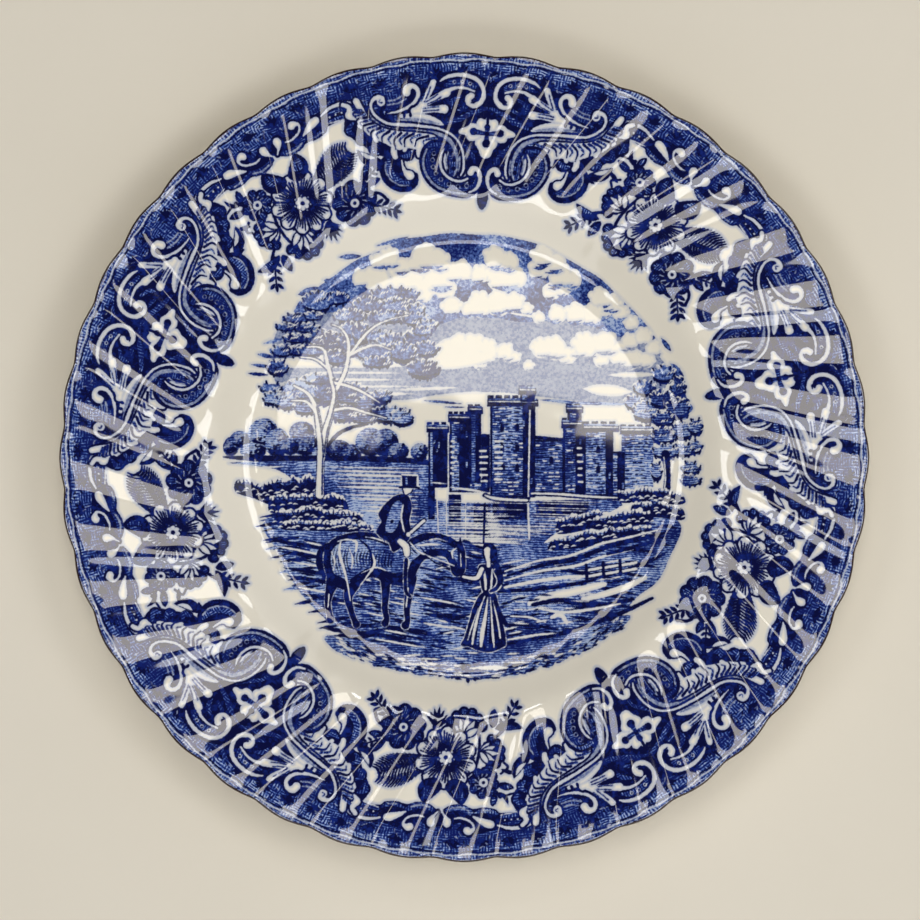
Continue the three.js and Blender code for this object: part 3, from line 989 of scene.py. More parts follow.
def sky(sheet, rng):
    """A deep blue crown, a ragged paler part under it, and white clouds over both. The paler part is a
    painted reflection, standing in for the softbox's wash on the glaze.
    """
    turns = np.radians(np.arange(148, 24, -6.0))
    crown = [
        (71.8 * np.cos(t) + rng.uniform(-0.8, 0.8), 71.8 * np.sin(t) + rng.uniform(-0.8, 0.8))
        for t in turns
    ]
    sheet.area(MID, crown + [
        (62, 17), (45, 18), (25, 20), (8, 21), (-10, 21), (-22, 19), (-61, 20), (-62, 30),
    ])
    # The paler lower sky is a painted reflection of the softbox's wash on the glaze.
    sheet.area(PALE, ragged([
        (-62, 43), (-36, 46), (-12, 43), (4, 45), (18, 43), (34, 45), (48, 39), (60, 35), (66, 28),
        (62, 17), (45, 18), (25, 20), (8, 21), (-10, 21), (-22, 19), (-61, 20),
    ], rng, 1.0))
    # Bare stretches at the left and right edges, with loose streaks of sky.
    sheet.area(CHINA, [(-76, 60), (-57, 60), (-53, 50), (-57, 46), (-62, 33), (-60, 14), (-76, 12)])
    sheet.area(CHINA, [(-62, 31), (-40, 33), (-30, 30), (-20, 31), (-20, 29), (-57, 28.6), (-62, 29)])
    for puffs in [
        [
            (-24, 64, 3.4), (-27.5, 63, 2.8), (-20, 61.5, 3), (-13, 64, 4.6), (-9, 63.6, 4), (-18, 58, 6),
            (-8, 58.5, 6), (-28, 57, 4.6), (-33, 57.4, 3.2), (-1, 59.5, 4), (-14, 53.5, 4.6),
            (-6, 53.5, 3.4), (-24, 54, 4),
        ],
        [
            (10, 64, 4.0), (14.5, 62.6, 3.4), (12, 58, 5.4), (5, 58.6, 3.3), (17, 57.4, 3.4),
            (5, 49, 4.4), (11, 49.4, 4.6), (16, 49.8, 3.4), (1.6, 47.6, 2.8), (-4, 48.6, 3.4),
            (20, 47.6, 2.2),
        ],
        [
            (25.4, 64.4, 4.0), (29.4, 62.4, 3.6), (31, 58, 4.2), (24, 60, 3.6), (28, 53.2, 3.2),
            (34.5, 56.8, 3.4), (32, 53.4, 2), (43.6, 51, 3.6), (47.4, 49.4, 3.2), (50, 46.4, 2.8),
            (45, 47, 2.8), (53.6, 43, 2.6), (57.4, 38.6, 3.2), (60.6, 35, 2.8),
        ],
        [
            (24, 44.8, 2.2), (30, 46, 3.2), (36, 46, 3.8), (41, 46, 3.6), (3, 35.6, 4.2), (7, 34, 4.2),
            (-2, 36, 3.8), (-6, 34, 3.8), (13, 33.8, 3.2), (16, 32, 2.3), (25, 35, 3.6), (29, 35, 4.2),
            (33, 32.6, 3.2), (39, 36, 4.3), (45, 36.4, 4.3), (50, 33.4, 4.2), (54, 31.4, 3.4),
            (58, 31, 3), (0, 31, 3), (5, 30.4, 2.6), (20.6, 29.4, 1.9), (44, 31.4, 2.8), (53, 37, 3),
        ],
    ]:
        cloud(sheet, rng, puffs)
    sheet.area(CHINA, [(-10, 29.5), (-4, 28.2), (6, 30), (10, 33), (0, 36), (-9, 36)])
    for start, end, width in [
        ((38, 22.0), (54, 21.0), 3.4), ((-22, 21.6), (-2, 22.4), 1.0), ((46, 26.4), (62, 26.6), 1.6),
        ((-56, 25), (-20, 24.9), 0.8), ((-50, 27.3), (-20, 27), 0.7), ((-54, 22.6), (-14, 22.8), 0.7),
        ((-48, 20), (-16, 20.4), 1.4), ((14, 46.4), (26, 44.6), 0.8),
    ]:
        band(sheet, CHINA, start, end, width)
    for start, end, width in [
        ((-53, 52), (-45, 54), 2.4), ((-45, 56.6), (-41, 56.4), 1.2), ((-40, 63.8), (-33, 64.4), 1.4),
        ((-57, 41.6), (-52, 41.4), 1.2), ((-64, 36.4), (-58, 38), 1.0), ((-66, 33), (-61, 32), 1.2),
        ((-68, 29.6), (-62, 29), 1.0), ((-69, 26.8), (-63, 26.4), 1.0), ((-13, 18.2), (-1, 17.2), 0.7),
        ((-6, 16.2), (0, 16.0), 0.5), ((24.4, 18.4), (35.5, 17.8), 0.7), ((30, 17.6), (53, 17.0), 0.9),
        ((-28, 67.6), (-18, 70.4), 1.0), ((66, 30), (70, 24), 2.6), ((69, 22), (71, 16), 2.0),
        ((63, 38), (66, 34), 1.2),
    ]:
        band(sheet, MID, start, end, width)


def hedge(sheet, rng):
    """Round bushes along the far shore."""
    for x, y, wide, tall in [
        (-74.5, 3.4, 2.2, 2.8), (-71.5, 5.6, 3.2, 2.6), (-64.4, 7.6, 4.6, 4.8), (-60, 4.6, 3.8, 4.4),
        (-52, 8, 3.8, 3.2), (-50.6, 4, 5, 3.4), (-56, 3.4, 3, 2.6), (-40.4, 2.4, 4, 3),
        (-36, 1.6, 3, 2.4), (-30.2, 4.8, 4.4, 4.4), (-25.4, 4.6, 4.4, 4.2), (-21, 1.8, 3.2, 2.6),
        (-14.4, 1.6, 2.6, 2.8), (-67.6, 2.2, 4, 2.2), (-45.6, 1.4, 3, 2.2),
    ]:
        bush(sheet, rng, (x, y), wide, tall)
    sheet.area(NAVY, [(-77, 0.2), (-60, 0.6), (-30, 0.4), (-12, -0.8), (-12, -3), (-40, -2.2), (-66, -1.4)])


def lake(sheet, rng):
    """Still water ruled with lines, and the castle's reflection."""
    sheet.area(MID, [
        (-73, -1.6), (-12, -2.6), (-8, -14), (50, -14), (30, -24), (22, -30), (12, -30), (-8, -26),
        (-30, -22.5), (-48, -12), (-60, -4),
    ])
    for k in range(15):
        y = -3.0 - 1.28 * k
        width = 0.42 + 0.22 * (k % 3)
        left = -46 + 1.3 * k + rng.uniform(-2, 2)
        band(sheet, CHINA, (left, y), (-13.5 + rng.uniform(-2, 1), y - 0.7), width)
    for x0, x1 in [(-74, -62), (-72, -58)]:
        band(sheet, CHINA, (x0, -2.4 + 0.02 * x0), (x1, -2.9), 0.5)
    # Reflections of the towers: dark uprights cut by pale ripples.
    for x0, x1, y0, y1 in [
        (-11.6, -9.4, -9, -20), (-5, -1, -12, -21.5), (3, 8.4, -15, -27), (9, 21, -14.5, -20),
        (23, 40, -14, -19),
    ]:
        sheet.area(NAVY, [(x0, y0), (x1, y0), (x1, y1), (x0, y1)], smooth=False)
    for x0, x1, width in [(-8.9, -8.2, 0.5), (-5.8, -5.6, 0.4), (20.3, 20.9, 0.7), (0.4, 0.5, 0.3)]:
        sheet.stroke(CHINA, [(x0, -10, width), (x1, -26, width)], smooth=False)
    for k in range(16):
        y = -13.6 - 1.02 * k + rng.uniform(-0.2, 0.2)
        spread = 0.3 + 0.035 * k
        band(sheet, CHINA, (-9 + rng.uniform(-2, 4), y), (18 + rng.uniform(-8, 6), y - 0.4), spread)
        if k < 11:
            band(sheet, CHINA, (20 + rng.uniform(0, 3), y - 0.3), (44 - 1.6 * k, y - 0.8), 0.32)
    for k in range(9):
        band(sheet, CHINA, (6.4 + 0.2 * k, -18 - 1.15 * k), (10 + 0.6 * k, -18.2 - 1.15 * k), 0.7)
    sheet.stroke(NAVY, [(6.6, -15, 0.8), (6.4, -22, 0.7), (6.2, -27.6, 0.5)])
    for k in range(5):
        band(sheet, CHINA, (9 + k, -21.8 - 1.4 * k), (28 - 2 * k, -22.4 - 1.4 * k), 0.45)


def wall(sheet, rng, x0, x1, base, top, lit=0.3, shade=NAVY):
    """A stretch of castle masonry, lit on its left part and ruled with courses."""
    sheet.area(shade, [(x0, base), (x0, top), (x1, top), (x1, base)], smooth=False, grow=0.25)
    edge = x0 + (x1 - x0) * lit
    sheet.area(MID, [
        (x0 + 0.5, base + 0.4), (x0 + 0.5, top - 0.5), (edge, top - 0.5), (edge, base + 0.4),
    ], smooth=False)
    rows = int((top - base) / 1.25)
    for k in range(rows):
        y = base + 0.8 + 1.25 * k
        start = x0 + 0.8 + rng.uniform(0, 0.8)
        while start < edge - 0.6:
            length = rng.uniform(0.6, 1.6)
            tone = CHINA if rng.random() < 0.34 else NAVY
            sheet.stroke(tone, [(start, y), (min(start + length, edge), y)], width=0.5, smooth=False)
            start += length + rng.uniform(0.5, 1.4)
    for _ in range(int((x1 - edge) * max(top - base - 5, 0) / 20)):
        x, y = rng.uniform(edge + 0.4, x1 - 0.4), rng.uniform(base + 2, top - 2)
        sheet.stroke(MID, [(x, y - 0.7), (x, y + 0.7)], width=0.55, smooth=False)


def battlement(sheet, x0, x1, y, teeth, tall=1.1):
    """A projecting parapet with merlons."""
    sheet.area(NAVY, [
        (x0 - 0.6, y - 0.5), (x0 - 0.6, y + 1.5), (x1 + 0.6, y + 1.3), (x1 + 0.6, y - 0.5),
    ], smooth=False, grow=0.2)
    pitch = (x1 - x0 + 1.2) / teeth
    for k in range(teeth):
        left = x0 - 0.6 + k * pitch
        right, top = left + pitch * 0.62, y + 1.5 + tall
        sheet.area(NAVY, [(left, y + 1), (left, top), (right, top), (right, y + 1)], smooth=False, grow=0.1)
    sheet.stroke(CHINA, [(x0 - 0.2, y + 0.9), (x1 + 0.2, y + 0.8)], width=0.45, smooth=False)
    sheet.stroke(MID, [(x0 - 0.2, y + 1.7), (x1 + 0.2, y + 1.6)], width=0.5, smooth=False)


def castle(sheet, rng):
    """Towers and walls standing in the lake."""
    wall(sheet, rng, -4.6, 8, -11, 7.2, 0.8)
    wall(sheet, rng, 22, 33, -12, 5.4, 0.86)
    sheet.stroke(NAVY, [(22.4, 6.4), (33, 5.4)], width=1.2, smooth=False)
    wall(sheet, rng, -11.3, -5.6, -9.5, 9.0, 0.2)
    battlement(sheet, -11.3, -5.6, 8.6, 3)
    wall(sheet, rng, -4.4, 1.6, -11, 12.6, 0.45)
    battlement(sheet, -4.4, 1.6, 12.0, 4)
    wall(sheet, rng, 1.9, 5.2, -8, 15.0, 0.5)
    battlement(sheet, 1.9, 5.2, 14.6, 2, 0.8)
    wall(sheet, rng, 50.8, 60.4, -10, 8.6, 0.85, MID)
    battlement(sheet, 50.8, 60.2, 8.0, 4, 0.9)
    wall(sheet, rng, 46.7, 51.4, -13.2, 1.6, 0.5)
    wall(sheet, rng, 33.4, 37.4, -2, 15.4, 0.6)
    battlement(sheet, 33.4, 37.4, 14.8, 2, 0.8)
    wall(sheet, rng, 32, 38.6, -12.4, 11, 0.55)
    wall(sheet, rng, 38.6, 47.6, -12.8, 9.6, 0.75)
    battlement(sheet, 38.8, 49.0, 8.8, 4)
    battlement(sheet, 32.0, 37.4, 10.0, 3)
    wall(sheet, rng, 8.6, 22.6, -12.6, 17.4, 0.72)
    battlement(sheet, 8.2, 23.0, 17.0, 6, 1.3)
    wall(sheet, rng, 18.2, 22.4, 18, 21.8, 0.5)
    battlement(sheet, 18.2, 22.4, 20.8, 2, 0.7)
    for x, y in [
        (-9, 3.6), (12.2, 9.5), (12.2, 3.0), (17, 9.5), (17, 3), (12.5, -3.4), (17, -3.4), (28, -1),
        (35.6, 2), (43, 2.4), (43, -4), (-1.6, 6), (-1.6, 0),
    ]:
        sheet.area(NAVY, [
            (x - 0.7, y - 1.2), (x - 0.7, y + 0.8), (x, y + 1.5), (x + 0.7, y + 0.8), (x + 0.7, y - 1.2),
        ], smooth=False)
    # Sunlit quoins and doorways.
    for x0, x1, y0, y1, count in [
        (-4.4, -3.2, -6, 6, 7), (5, 7.4, -8.6, 3, 6), (9.6, 12.4, -8, 6, 8), (36.4, 38, -9, 4, 6),
    ]:
        for k in range(count):
            y = y0 + (y1 - y0) * (k + 0.5) / count
            sheet.stroke(CHINA, [
                (x0 + rng.uniform(0, 0.5), y), (x1 - rng.uniform(0, 0.5), y),
            ], width=0.75, smooth=False)
    sheet.stroke(NAVY, [(20.9, 16), (20.4, -13)], width=1.6, smooth=False)
    sheet.stroke(CHINA, [(21.1, 15), (20.6, -12.6)], width=0.6, smooth=False)
    sheet.scroll([(6.6, -12.2, 0.5), (9, -13.0, 0.9), (14, -13.6, 0.9), (20, -13.8, 0.8)], outline=0.5)
    sheet.scroll([(21.6, -11.6, 0.6), (30, -11.8, 0.8), (40, -12.6, 0.8), (49, -13.0, 0.5)], outline=0.5)
    band(sheet, CHINA, (-4.6, -9.6), (7, -11.2), 0.8)
    band(sheet, CHINA, (-11, -8), (-5, -8.6), 0.5)


def far_trees(sheet, rng):
    """Trees and a bare trunk at the right of the castle."""
    for x, y, wide, tall in [
        (58, 22, 3.6, 2.6), (54.5, 17.5, 3.0, 2.4), (58.4, 14.6, 4.2, 3.4), (64, 26.6, 3.6, 3.0),
        (68.6, 22.4, 2.4, 3.4), (63.4, 18.6, 3.8, 3.0), (68.6, 15.6, 3.6, 3.4), (64, 12.2, 3.4, 2.6),
        (70, 8.4, 3.4, 3.0), (74, 9.6, 2.2, 2.8), (64, 6.8, 3.8, 2.8), (73.6, 3.2, 2.2, 2.2),
        (70.4, 2.2, 3.0, 2.2), (64.6, 1.8, 4.4, 2.4), (61.8, -4.6, 1.8, 3.0), (72.4, -3.4, 3.0, 2.2),
        (72.6, -7.4, 3.2, 1.8),
    ]:
        clump(sheet, rng, (x, y), wide, tall)
    sheet.stroke(NAVY, [(64.6, 1, 2.8), (65.2, -5, 2.0), (64.8, -12.4, 2.6)])
    sheet.stroke(CHINA, [(64.1, 0, 0.4), (64.6, -6, 0.5), (64.2, -11, 0.3)])


def bank(sheet, rng, layers):
    """Low bushes in overlapping layers, each dark below and jagged and pale along its top."""
    for x0, y0, x1, y1, tall in layers:
        steps = max(5, int(abs(x1 - x0) / 2.2))
        crest = []
        for k in range(steps + 1):
            t = k / steps
            swell = tall * (0.35 + 0.65 * np.sin(np.pi * t)) * rng.uniform(0.6, 1.3)
            crest.append((x0 + (x1 - x0) * t, y0 + (y1 - y0) * t + swell))
        base = [(x, y - tall * 1.2) for x, y in ((x1, y1), ((x0 + x1) / 2, (y0 + y1) / 2), (x0, y0))]
        sheet.area(NAVY, crest + base)
        sheet.stroke(MID, [(x, y - tall * 0.1, tall * rng.uniform(0.4, 0.8)) for x, y in crest[1:-1]])
        path = smooth_path(crest)
        for x, y in path[::3]:
            sheet.dot(CHINA, (x + rng.uniform(-0.3, 0.3), y + rng.uniform(-0.2, 0.5)), rng.uniform(0.4, 0.8))
        for x, y in path[::4]:
            sheet.stroke(NAVY, [
                (x, y - 0.9, 0.7), (x + rng.uniform(-0.5, 0.5), y + rng.uniform(-0.2, 0.4), 0.2),
            ], smooth=False)
            px, py = x + rng.uniform(-1, 1), y - tall * rng.uniform(0.8, 1.6)
            sheet.stroke(CHINA, [
                (px - 0.8, py - 0.2, 0.2), (px, py + 0.2, 0.55), (px + 0.8, py, 0.2),
            ], steps=3)


def ground(sheet, rng):
    """Meadow in the foreground: long slanting strokes that run out to a ragged edge."""
    sheet.area(MID, ragged([
        (-64, -20), (-40, -22), (-20, -24), (0, -28), (14, -30), (30, -27), (50, -23), (64, -19),
        (69, -22), (66, -32), (62, -40), (55, -46), (46, -55), (36, -62), (22, -68), (6, -71), (-8, -69),
        (-24, -64), (-38, -57), (-48, -49), (-55, -40), (-60, -31),
    ], rng, 0.6))
    blades = 120
    for k in range(blades):
        turn = np.radians(196 + 148 * (k + rng.uniform(-0.4, 0.4)) / (blades - 1))
        reach = rng.uniform(65.5, 72.5)
        x, y = reach * np.cos(turn), reach * np.sin(turn)
        side = np.clip(x / 30, -1, 1)
        length = rng.uniform(5, 12) * (0.45 + 0.55 * abs(side))
        end = (x - side * length, y + 0.16 * length * abs(side) + 1.6 * (1 - abs(side)))
        sheet.stroke((NAVY, MID, NAVY)[k % 3], [
            (x, y, 0.2), ((x + end[0]) / 2, (y + end[1]) / 2, 1.2), (*end, 0.5),
        ], steps=3)
    # Furrows: pale and dark streaks that slope down from the left and from the right.
    for k in range(270):
        x, y = rng.uniform(-62, 4), rng.uniform(-66, -25)
        if np.hypot(x + 4, y) > 62:
            continue
        length = rng.uniform(2.5, 9)
        tone = (NAVY, NAVY, CHINA)[k % 3]
        band(sheet, tone, (x, y), (x + length, y - 0.22 * length), 0.75 if tone == NAVY else 0.6)
    for k in range(120):
        x, y = rng.uniform(-10, 52), rng.uniform(-66, -34)
        if np.hypot(x, y) < 68:
            length = rng.uniform(3, 9)
            tone = (NAVY, NAVY, CHINA)[k % 3]
            band(sheet, tone, (x, y), (x + length, y + 0.2 * length), 0.8 if tone == NAVY else 0.6)
    for x, y, length in [
        (-46, -54.6, 16), (-36, -55.6, 18), (-44, -57, 14), (-28, -53.8, 16), (0, -64.4, 16),
        (-4, -66, 12), (30, -36, 18), (36, -40.6, 14), (24, -45, 18), (16, -60, 16), (-63, -26.4, 20),
        (-60, -30, 18), (-58, -35.4, 18), (-57, -38, 20), (-52, -44, 16), (-12, -46.5, 12),
        (-14, -50, 14),
    ]:
        band(sheet, NAVY, (x, y), (x + length, y - 0.16 * length), 1.3)
    for x, y, length in [
        (-61, -28.4, 14), (-56, -33.4, 14), (-54, -41.6, 12), (-15, -44.8, 14), (-30, -58, 18),
        (-14, -53, 12), (-26, -55.4, 8),
    ]:
        band(sheet, CHINA, (x, y), (x + length, y - 0.18 * length), 0.7)


def road(sheet, rng):
    """A track that climbs to the right, with hurdles beside it."""
    tracks = [
        (CHINA, 0.9, [(13, -36.6), (24, -33.2), (34, -31.6), (44, -27.8), (54, -25.4), (62, -23.4)]),
        (NAVY, 1.6, [(14, -38.0), (26, -34.4), (36, -32.6), (46, -28.8), (56, -26.4), (64, -24.4)]),
        (CHINA, 1.0, [(13, -39.6), (24, -36.6), (36, -34.8), (44, -32.0), (54, -29.6)]),
        (CHINA, 1.3, [(13, -41.8), (22, -40.0), (32, -38.6), (40, -38.2)]),
        (NAVY, 1.5, [(11, -43.2), (22, -42.4), (32, -41.2), (42, -39.4)]),
        (CHINA, 2.6, [(21, -47), (26, -44.8), (34, -43.4), (42, -41.4), (45, -40.8)]),
        (CHINA, 2.2, [(38, -45.6), (44, -44.2), (52, -41.6), (58, -38.6)]),
        (NAVY, 2.0, [(22, -47.4), (30, -46.0), (38, -46.8), (46, -47.4), (54, -45.4)]),
        (CHINA, 1.0, [(24, -48.6), (32, -49.8), (42, -48.6), (50, -47)]),
        (NAVY, 1.4, [(46, -31), (54, -29.0), (60, -27.4)]),
        (NAVY, 1.3, [(52, -36), (58, -34), (64, -31)]),
        (NAVY, 1.6, [(13, -60), (26, -57.6), (38, -54.8), (50, -50.0), (60, -45)]),
        (CHINA, 0.8, [(14, -58.6), (22, -57.2), (30, -56.4)]),
        (CHINA, 0.7, [(15, -51), (21, -51.4), (26, -53)]),
        (NAVY, 1.1, [(14, -53.6), (22, -54.0), (30, -55.2)]),
        (CHINA, 1.6, [(28, -51.4), (31, -50.6), (33, -53)]),
    ]
    for tone, width, points in tracks:
        path = [
            (x, y, width * (0.4 + 0.6 * np.sin(np.pi * (k + 0.5) / len(points))))
            for k, (x, y) in enumerate(points)
        ]
        sheet.stroke(tone, path)
    for k in range(3):
        for rail in range(2):
            sheet.scroll([
                (40 + 5.4 * k, -36.2 - 2.0 * rail + 0.8 * k, 0.9),
                (44.4 + 5.4 * k, -35.4 - 2.0 * rail + 0.8 * k, 0.9),
            ], outline=0.35)
        sheet.stroke(NAVY, [
            (39.2 + 5.4 * k, -34.6 + 0.8 * k), (39.4 + 5.4 * k, -39.4 + 0.8 * k),
        ], width=1.0, smooth=False)
    for k in range(22):
        x, y = rng.uniform(14, 36), rng.uniform(-59, -44)
        band(
            sheet, NAVY if k % 2 else CHINA, (x, y), (x + rng.uniform(3, 7), y + rng.uniform(-0.6, 0.8)),
            0.5,
        )


def grass_edge(sheet, rng):
    """A ragged strip of turf under the picture."""
    strip = smooth_path([
        (-42, -60.6), (-30, -65.4), (-16, -68.4), (-2, -70.2), (12, -70.0), (26, -66.4), (38, -61.4),
        (50, -54.4),
    ])
    places = np.arange(len(strip))
    slope = np.gradient(strip[:, 1]) / np.gradient(strip[:, 0])
    sheet.area(MID, ragged([
        (-44, -57), *(strip + (0, -0.4)), (52, -50), (30, -58), (0, -62), (-28, -59),
    ], rng, 0.7))
    for k in range(330):
        pick = rng.uniform(0, len(strip) - 1.001)
        x = np.interp(pick, places, strip[:, 0])
        y = np.interp(pick, places, strip[:, 1]) + rng.uniform(-0.7, 4.2)
        run = rng.uniform(1.2, 3.6)
        rise = run * np.interp(pick, places, slope) + rng.uniform(-0.5, 0.3)
        blade = [(x, y, 0.3), (x + run * 0.4, y + rise * 0.4, 0.75), (x + run, y + rise, 0.2)]
        sheet.stroke((NAVY, MID, NAVY, CHINA)[k % 4], blade, steps=3)
    for _ in range(10):
        x, y = rng.uniform(-20, 20), rng.uniform(-66.5, -62.5)
        band(sheet, CHINA, (x, y), (x + rng.uniform(3, 8), y + rng.uniform(-0.4, 0.4)), 0.6)
    band(sheet, CHINA, (3, -67.6), (14, -67.4), 1.3)


def great_tree(sheet, rng):
    """The tall tree at the left: dark leaf masses with pale limbs in front."""
    for x, y, wide, tall in [
        (-22.6, 52.4, 7.6, 2.7), (-20.6, 48.6, 6.4, 2.3), (-15.4, 47.4, 3, 1.8), (-31, 48.8, 4.4, 2.8),
        (-24.4, 45, 7, 2.1), (-15.6, 44.2, 4.4, 2.2), (-36.6, 45.2, 5, 2.4), (-41, 50.8, 4, 2),
        (-11.6, 42.2, 3.2, 1.8), (-47, 49.6, 4.6, 3.6), (-54, 44.4, 4, 1.6), (-48.4, 45.2, 3, 1.4),
        (-50.6, 41.4, 4, 1.6), (-57.4, 41.6, 3, 1.3), (-54, 38, 4, 1.5), (-58.4, 34, 3.4, 2),
        (-53.4, 34, 2.8, 1.7), (-46, 38, 4.4, 3), (-49, 34.2, 4.4, 1.9), (-42.6, 37, 3, 3.4),
        (-37, 36, 3.8, 4), (-36, 41, 3.4, 2.4), (-33, 39.6, 3, 3.4), (-27, 38.8, 5, 2),
        (-22, 36.8, 6, 2.8), (-27, 33.2, 7.6, 3), (-28, 30.4, 4.8, 1.9), (-15.4, 38, 4, 3),
        (-12.2, 34.6, 4, 2.6), (-19.4, 33.4, 4, 3.4), (-13, 28.2, 5.2, 3.2), (-13.4, 40.4, 3.4, 1.5),
        (-41, 32, 3.6, 2.6), (-60, 28.6, 3.4, 2.6), (-62, 22.4, 3.8, 1.9), (-60.4, 18.8, 4.6, 2.3),
        (-52.4, 21.4, 6.6, 3.6), (-57, 18, 3.8, 2.8), (-51, 15.8, 4, 2.2), (-44.4, 20.6, 3.8, 4),
        (-47, 25, 5, 1.8), (-36.4, 20, 5.6, 3.8), (-39, 14, 4, 2.8), (-30, 17, 4.8, 2.8),
        (-26.6, 19.4, 3.4, 2.2), (-24, 13.6, 6.6, 2.8), (-20, 12.6, 3.8, 2.8), (-32, 12.4, 4, 1.7),
    ]:
        clump(sheet, rng, (x, y), wide, tall)
    limbs = [
        [
            (-46.4, -12, 2.6), (-46.2, -4, 2.2), (-46.0, 3, 2.2), (-46.7, 10, 1.8), (-47.8, 16, 1.4),
            (-50.2, 20.4, 1.0), (-54.6, 23, 0.6),
        ],
        [
            (-45.8, 0, 2.2), (-44.6, 8, 1.9), (-42.8, 14, 1.7), (-41.6, 20, 1.6), (-42.6, 25, 1.3),
            (-43.9, 30, 1.2), (-44.8, 34, 0.9), (-47.0, 35.4, 0.7), (-50.6, 35.4, 0.5),
        ],
        [
            (-41.6, 21, 1.2), (-38.4, 27, 1.2), (-37.2, 33, 1.1), (-37.4, 38, 0.9), (-39.6, 41.4, 0.6),
            (-42.4, 42.6, 0.5),
        ],
        [(-37.2, 32.6, 1.0), (-32, 35.2, 0.9), (-28, 36, 0.7), (-23.6, 34.6, 0.5)],
        [(-36.6, 33, 0.9), (-32.6, 38.4, 0.9), (-29, 41.8, 0.7), (-24, 44.2, 0.5), (-18, 45.6, 0.4)],
        [(-42.2, 24, 1.0), (-37, 22.8, 0.9), (-32, 20.6, 0.8), (-27, 17.4, 0.5)],
        [(-42.6, 15, 1.0), (-37, 15.8, 0.9), (-31, 14.2, 0.7), (-25, 12.6, 0.5)],
        [(-47.4, 14, 1.0), (-50.6, 17.8, 0.8), (-55.4, 18.2, 0.5)],
        [(-43.4, 28, 0.8), (-47.6, 31.4, 0.7), (-52.6, 32.2, 0.4)],
    ]
    sheet.stroke(NAVY, [(-45, 2, 1.2), (-41, 7, 1.2), (-36.6, 9.4, 1.1), (-31, 10.6, 0.6)])
    for limb in limbs:
        sheet.stroke(NAVY, limb, grow=0.32)
    for limb in limbs:
        sheet.stroke(CHINA, limb)
    for limb in limbs[:2]:
        sheet.stroke(NAVY, [(x + 0.5 * w / 2 + 0.1, y, 0.45) for x, y, w in limb[:5]])


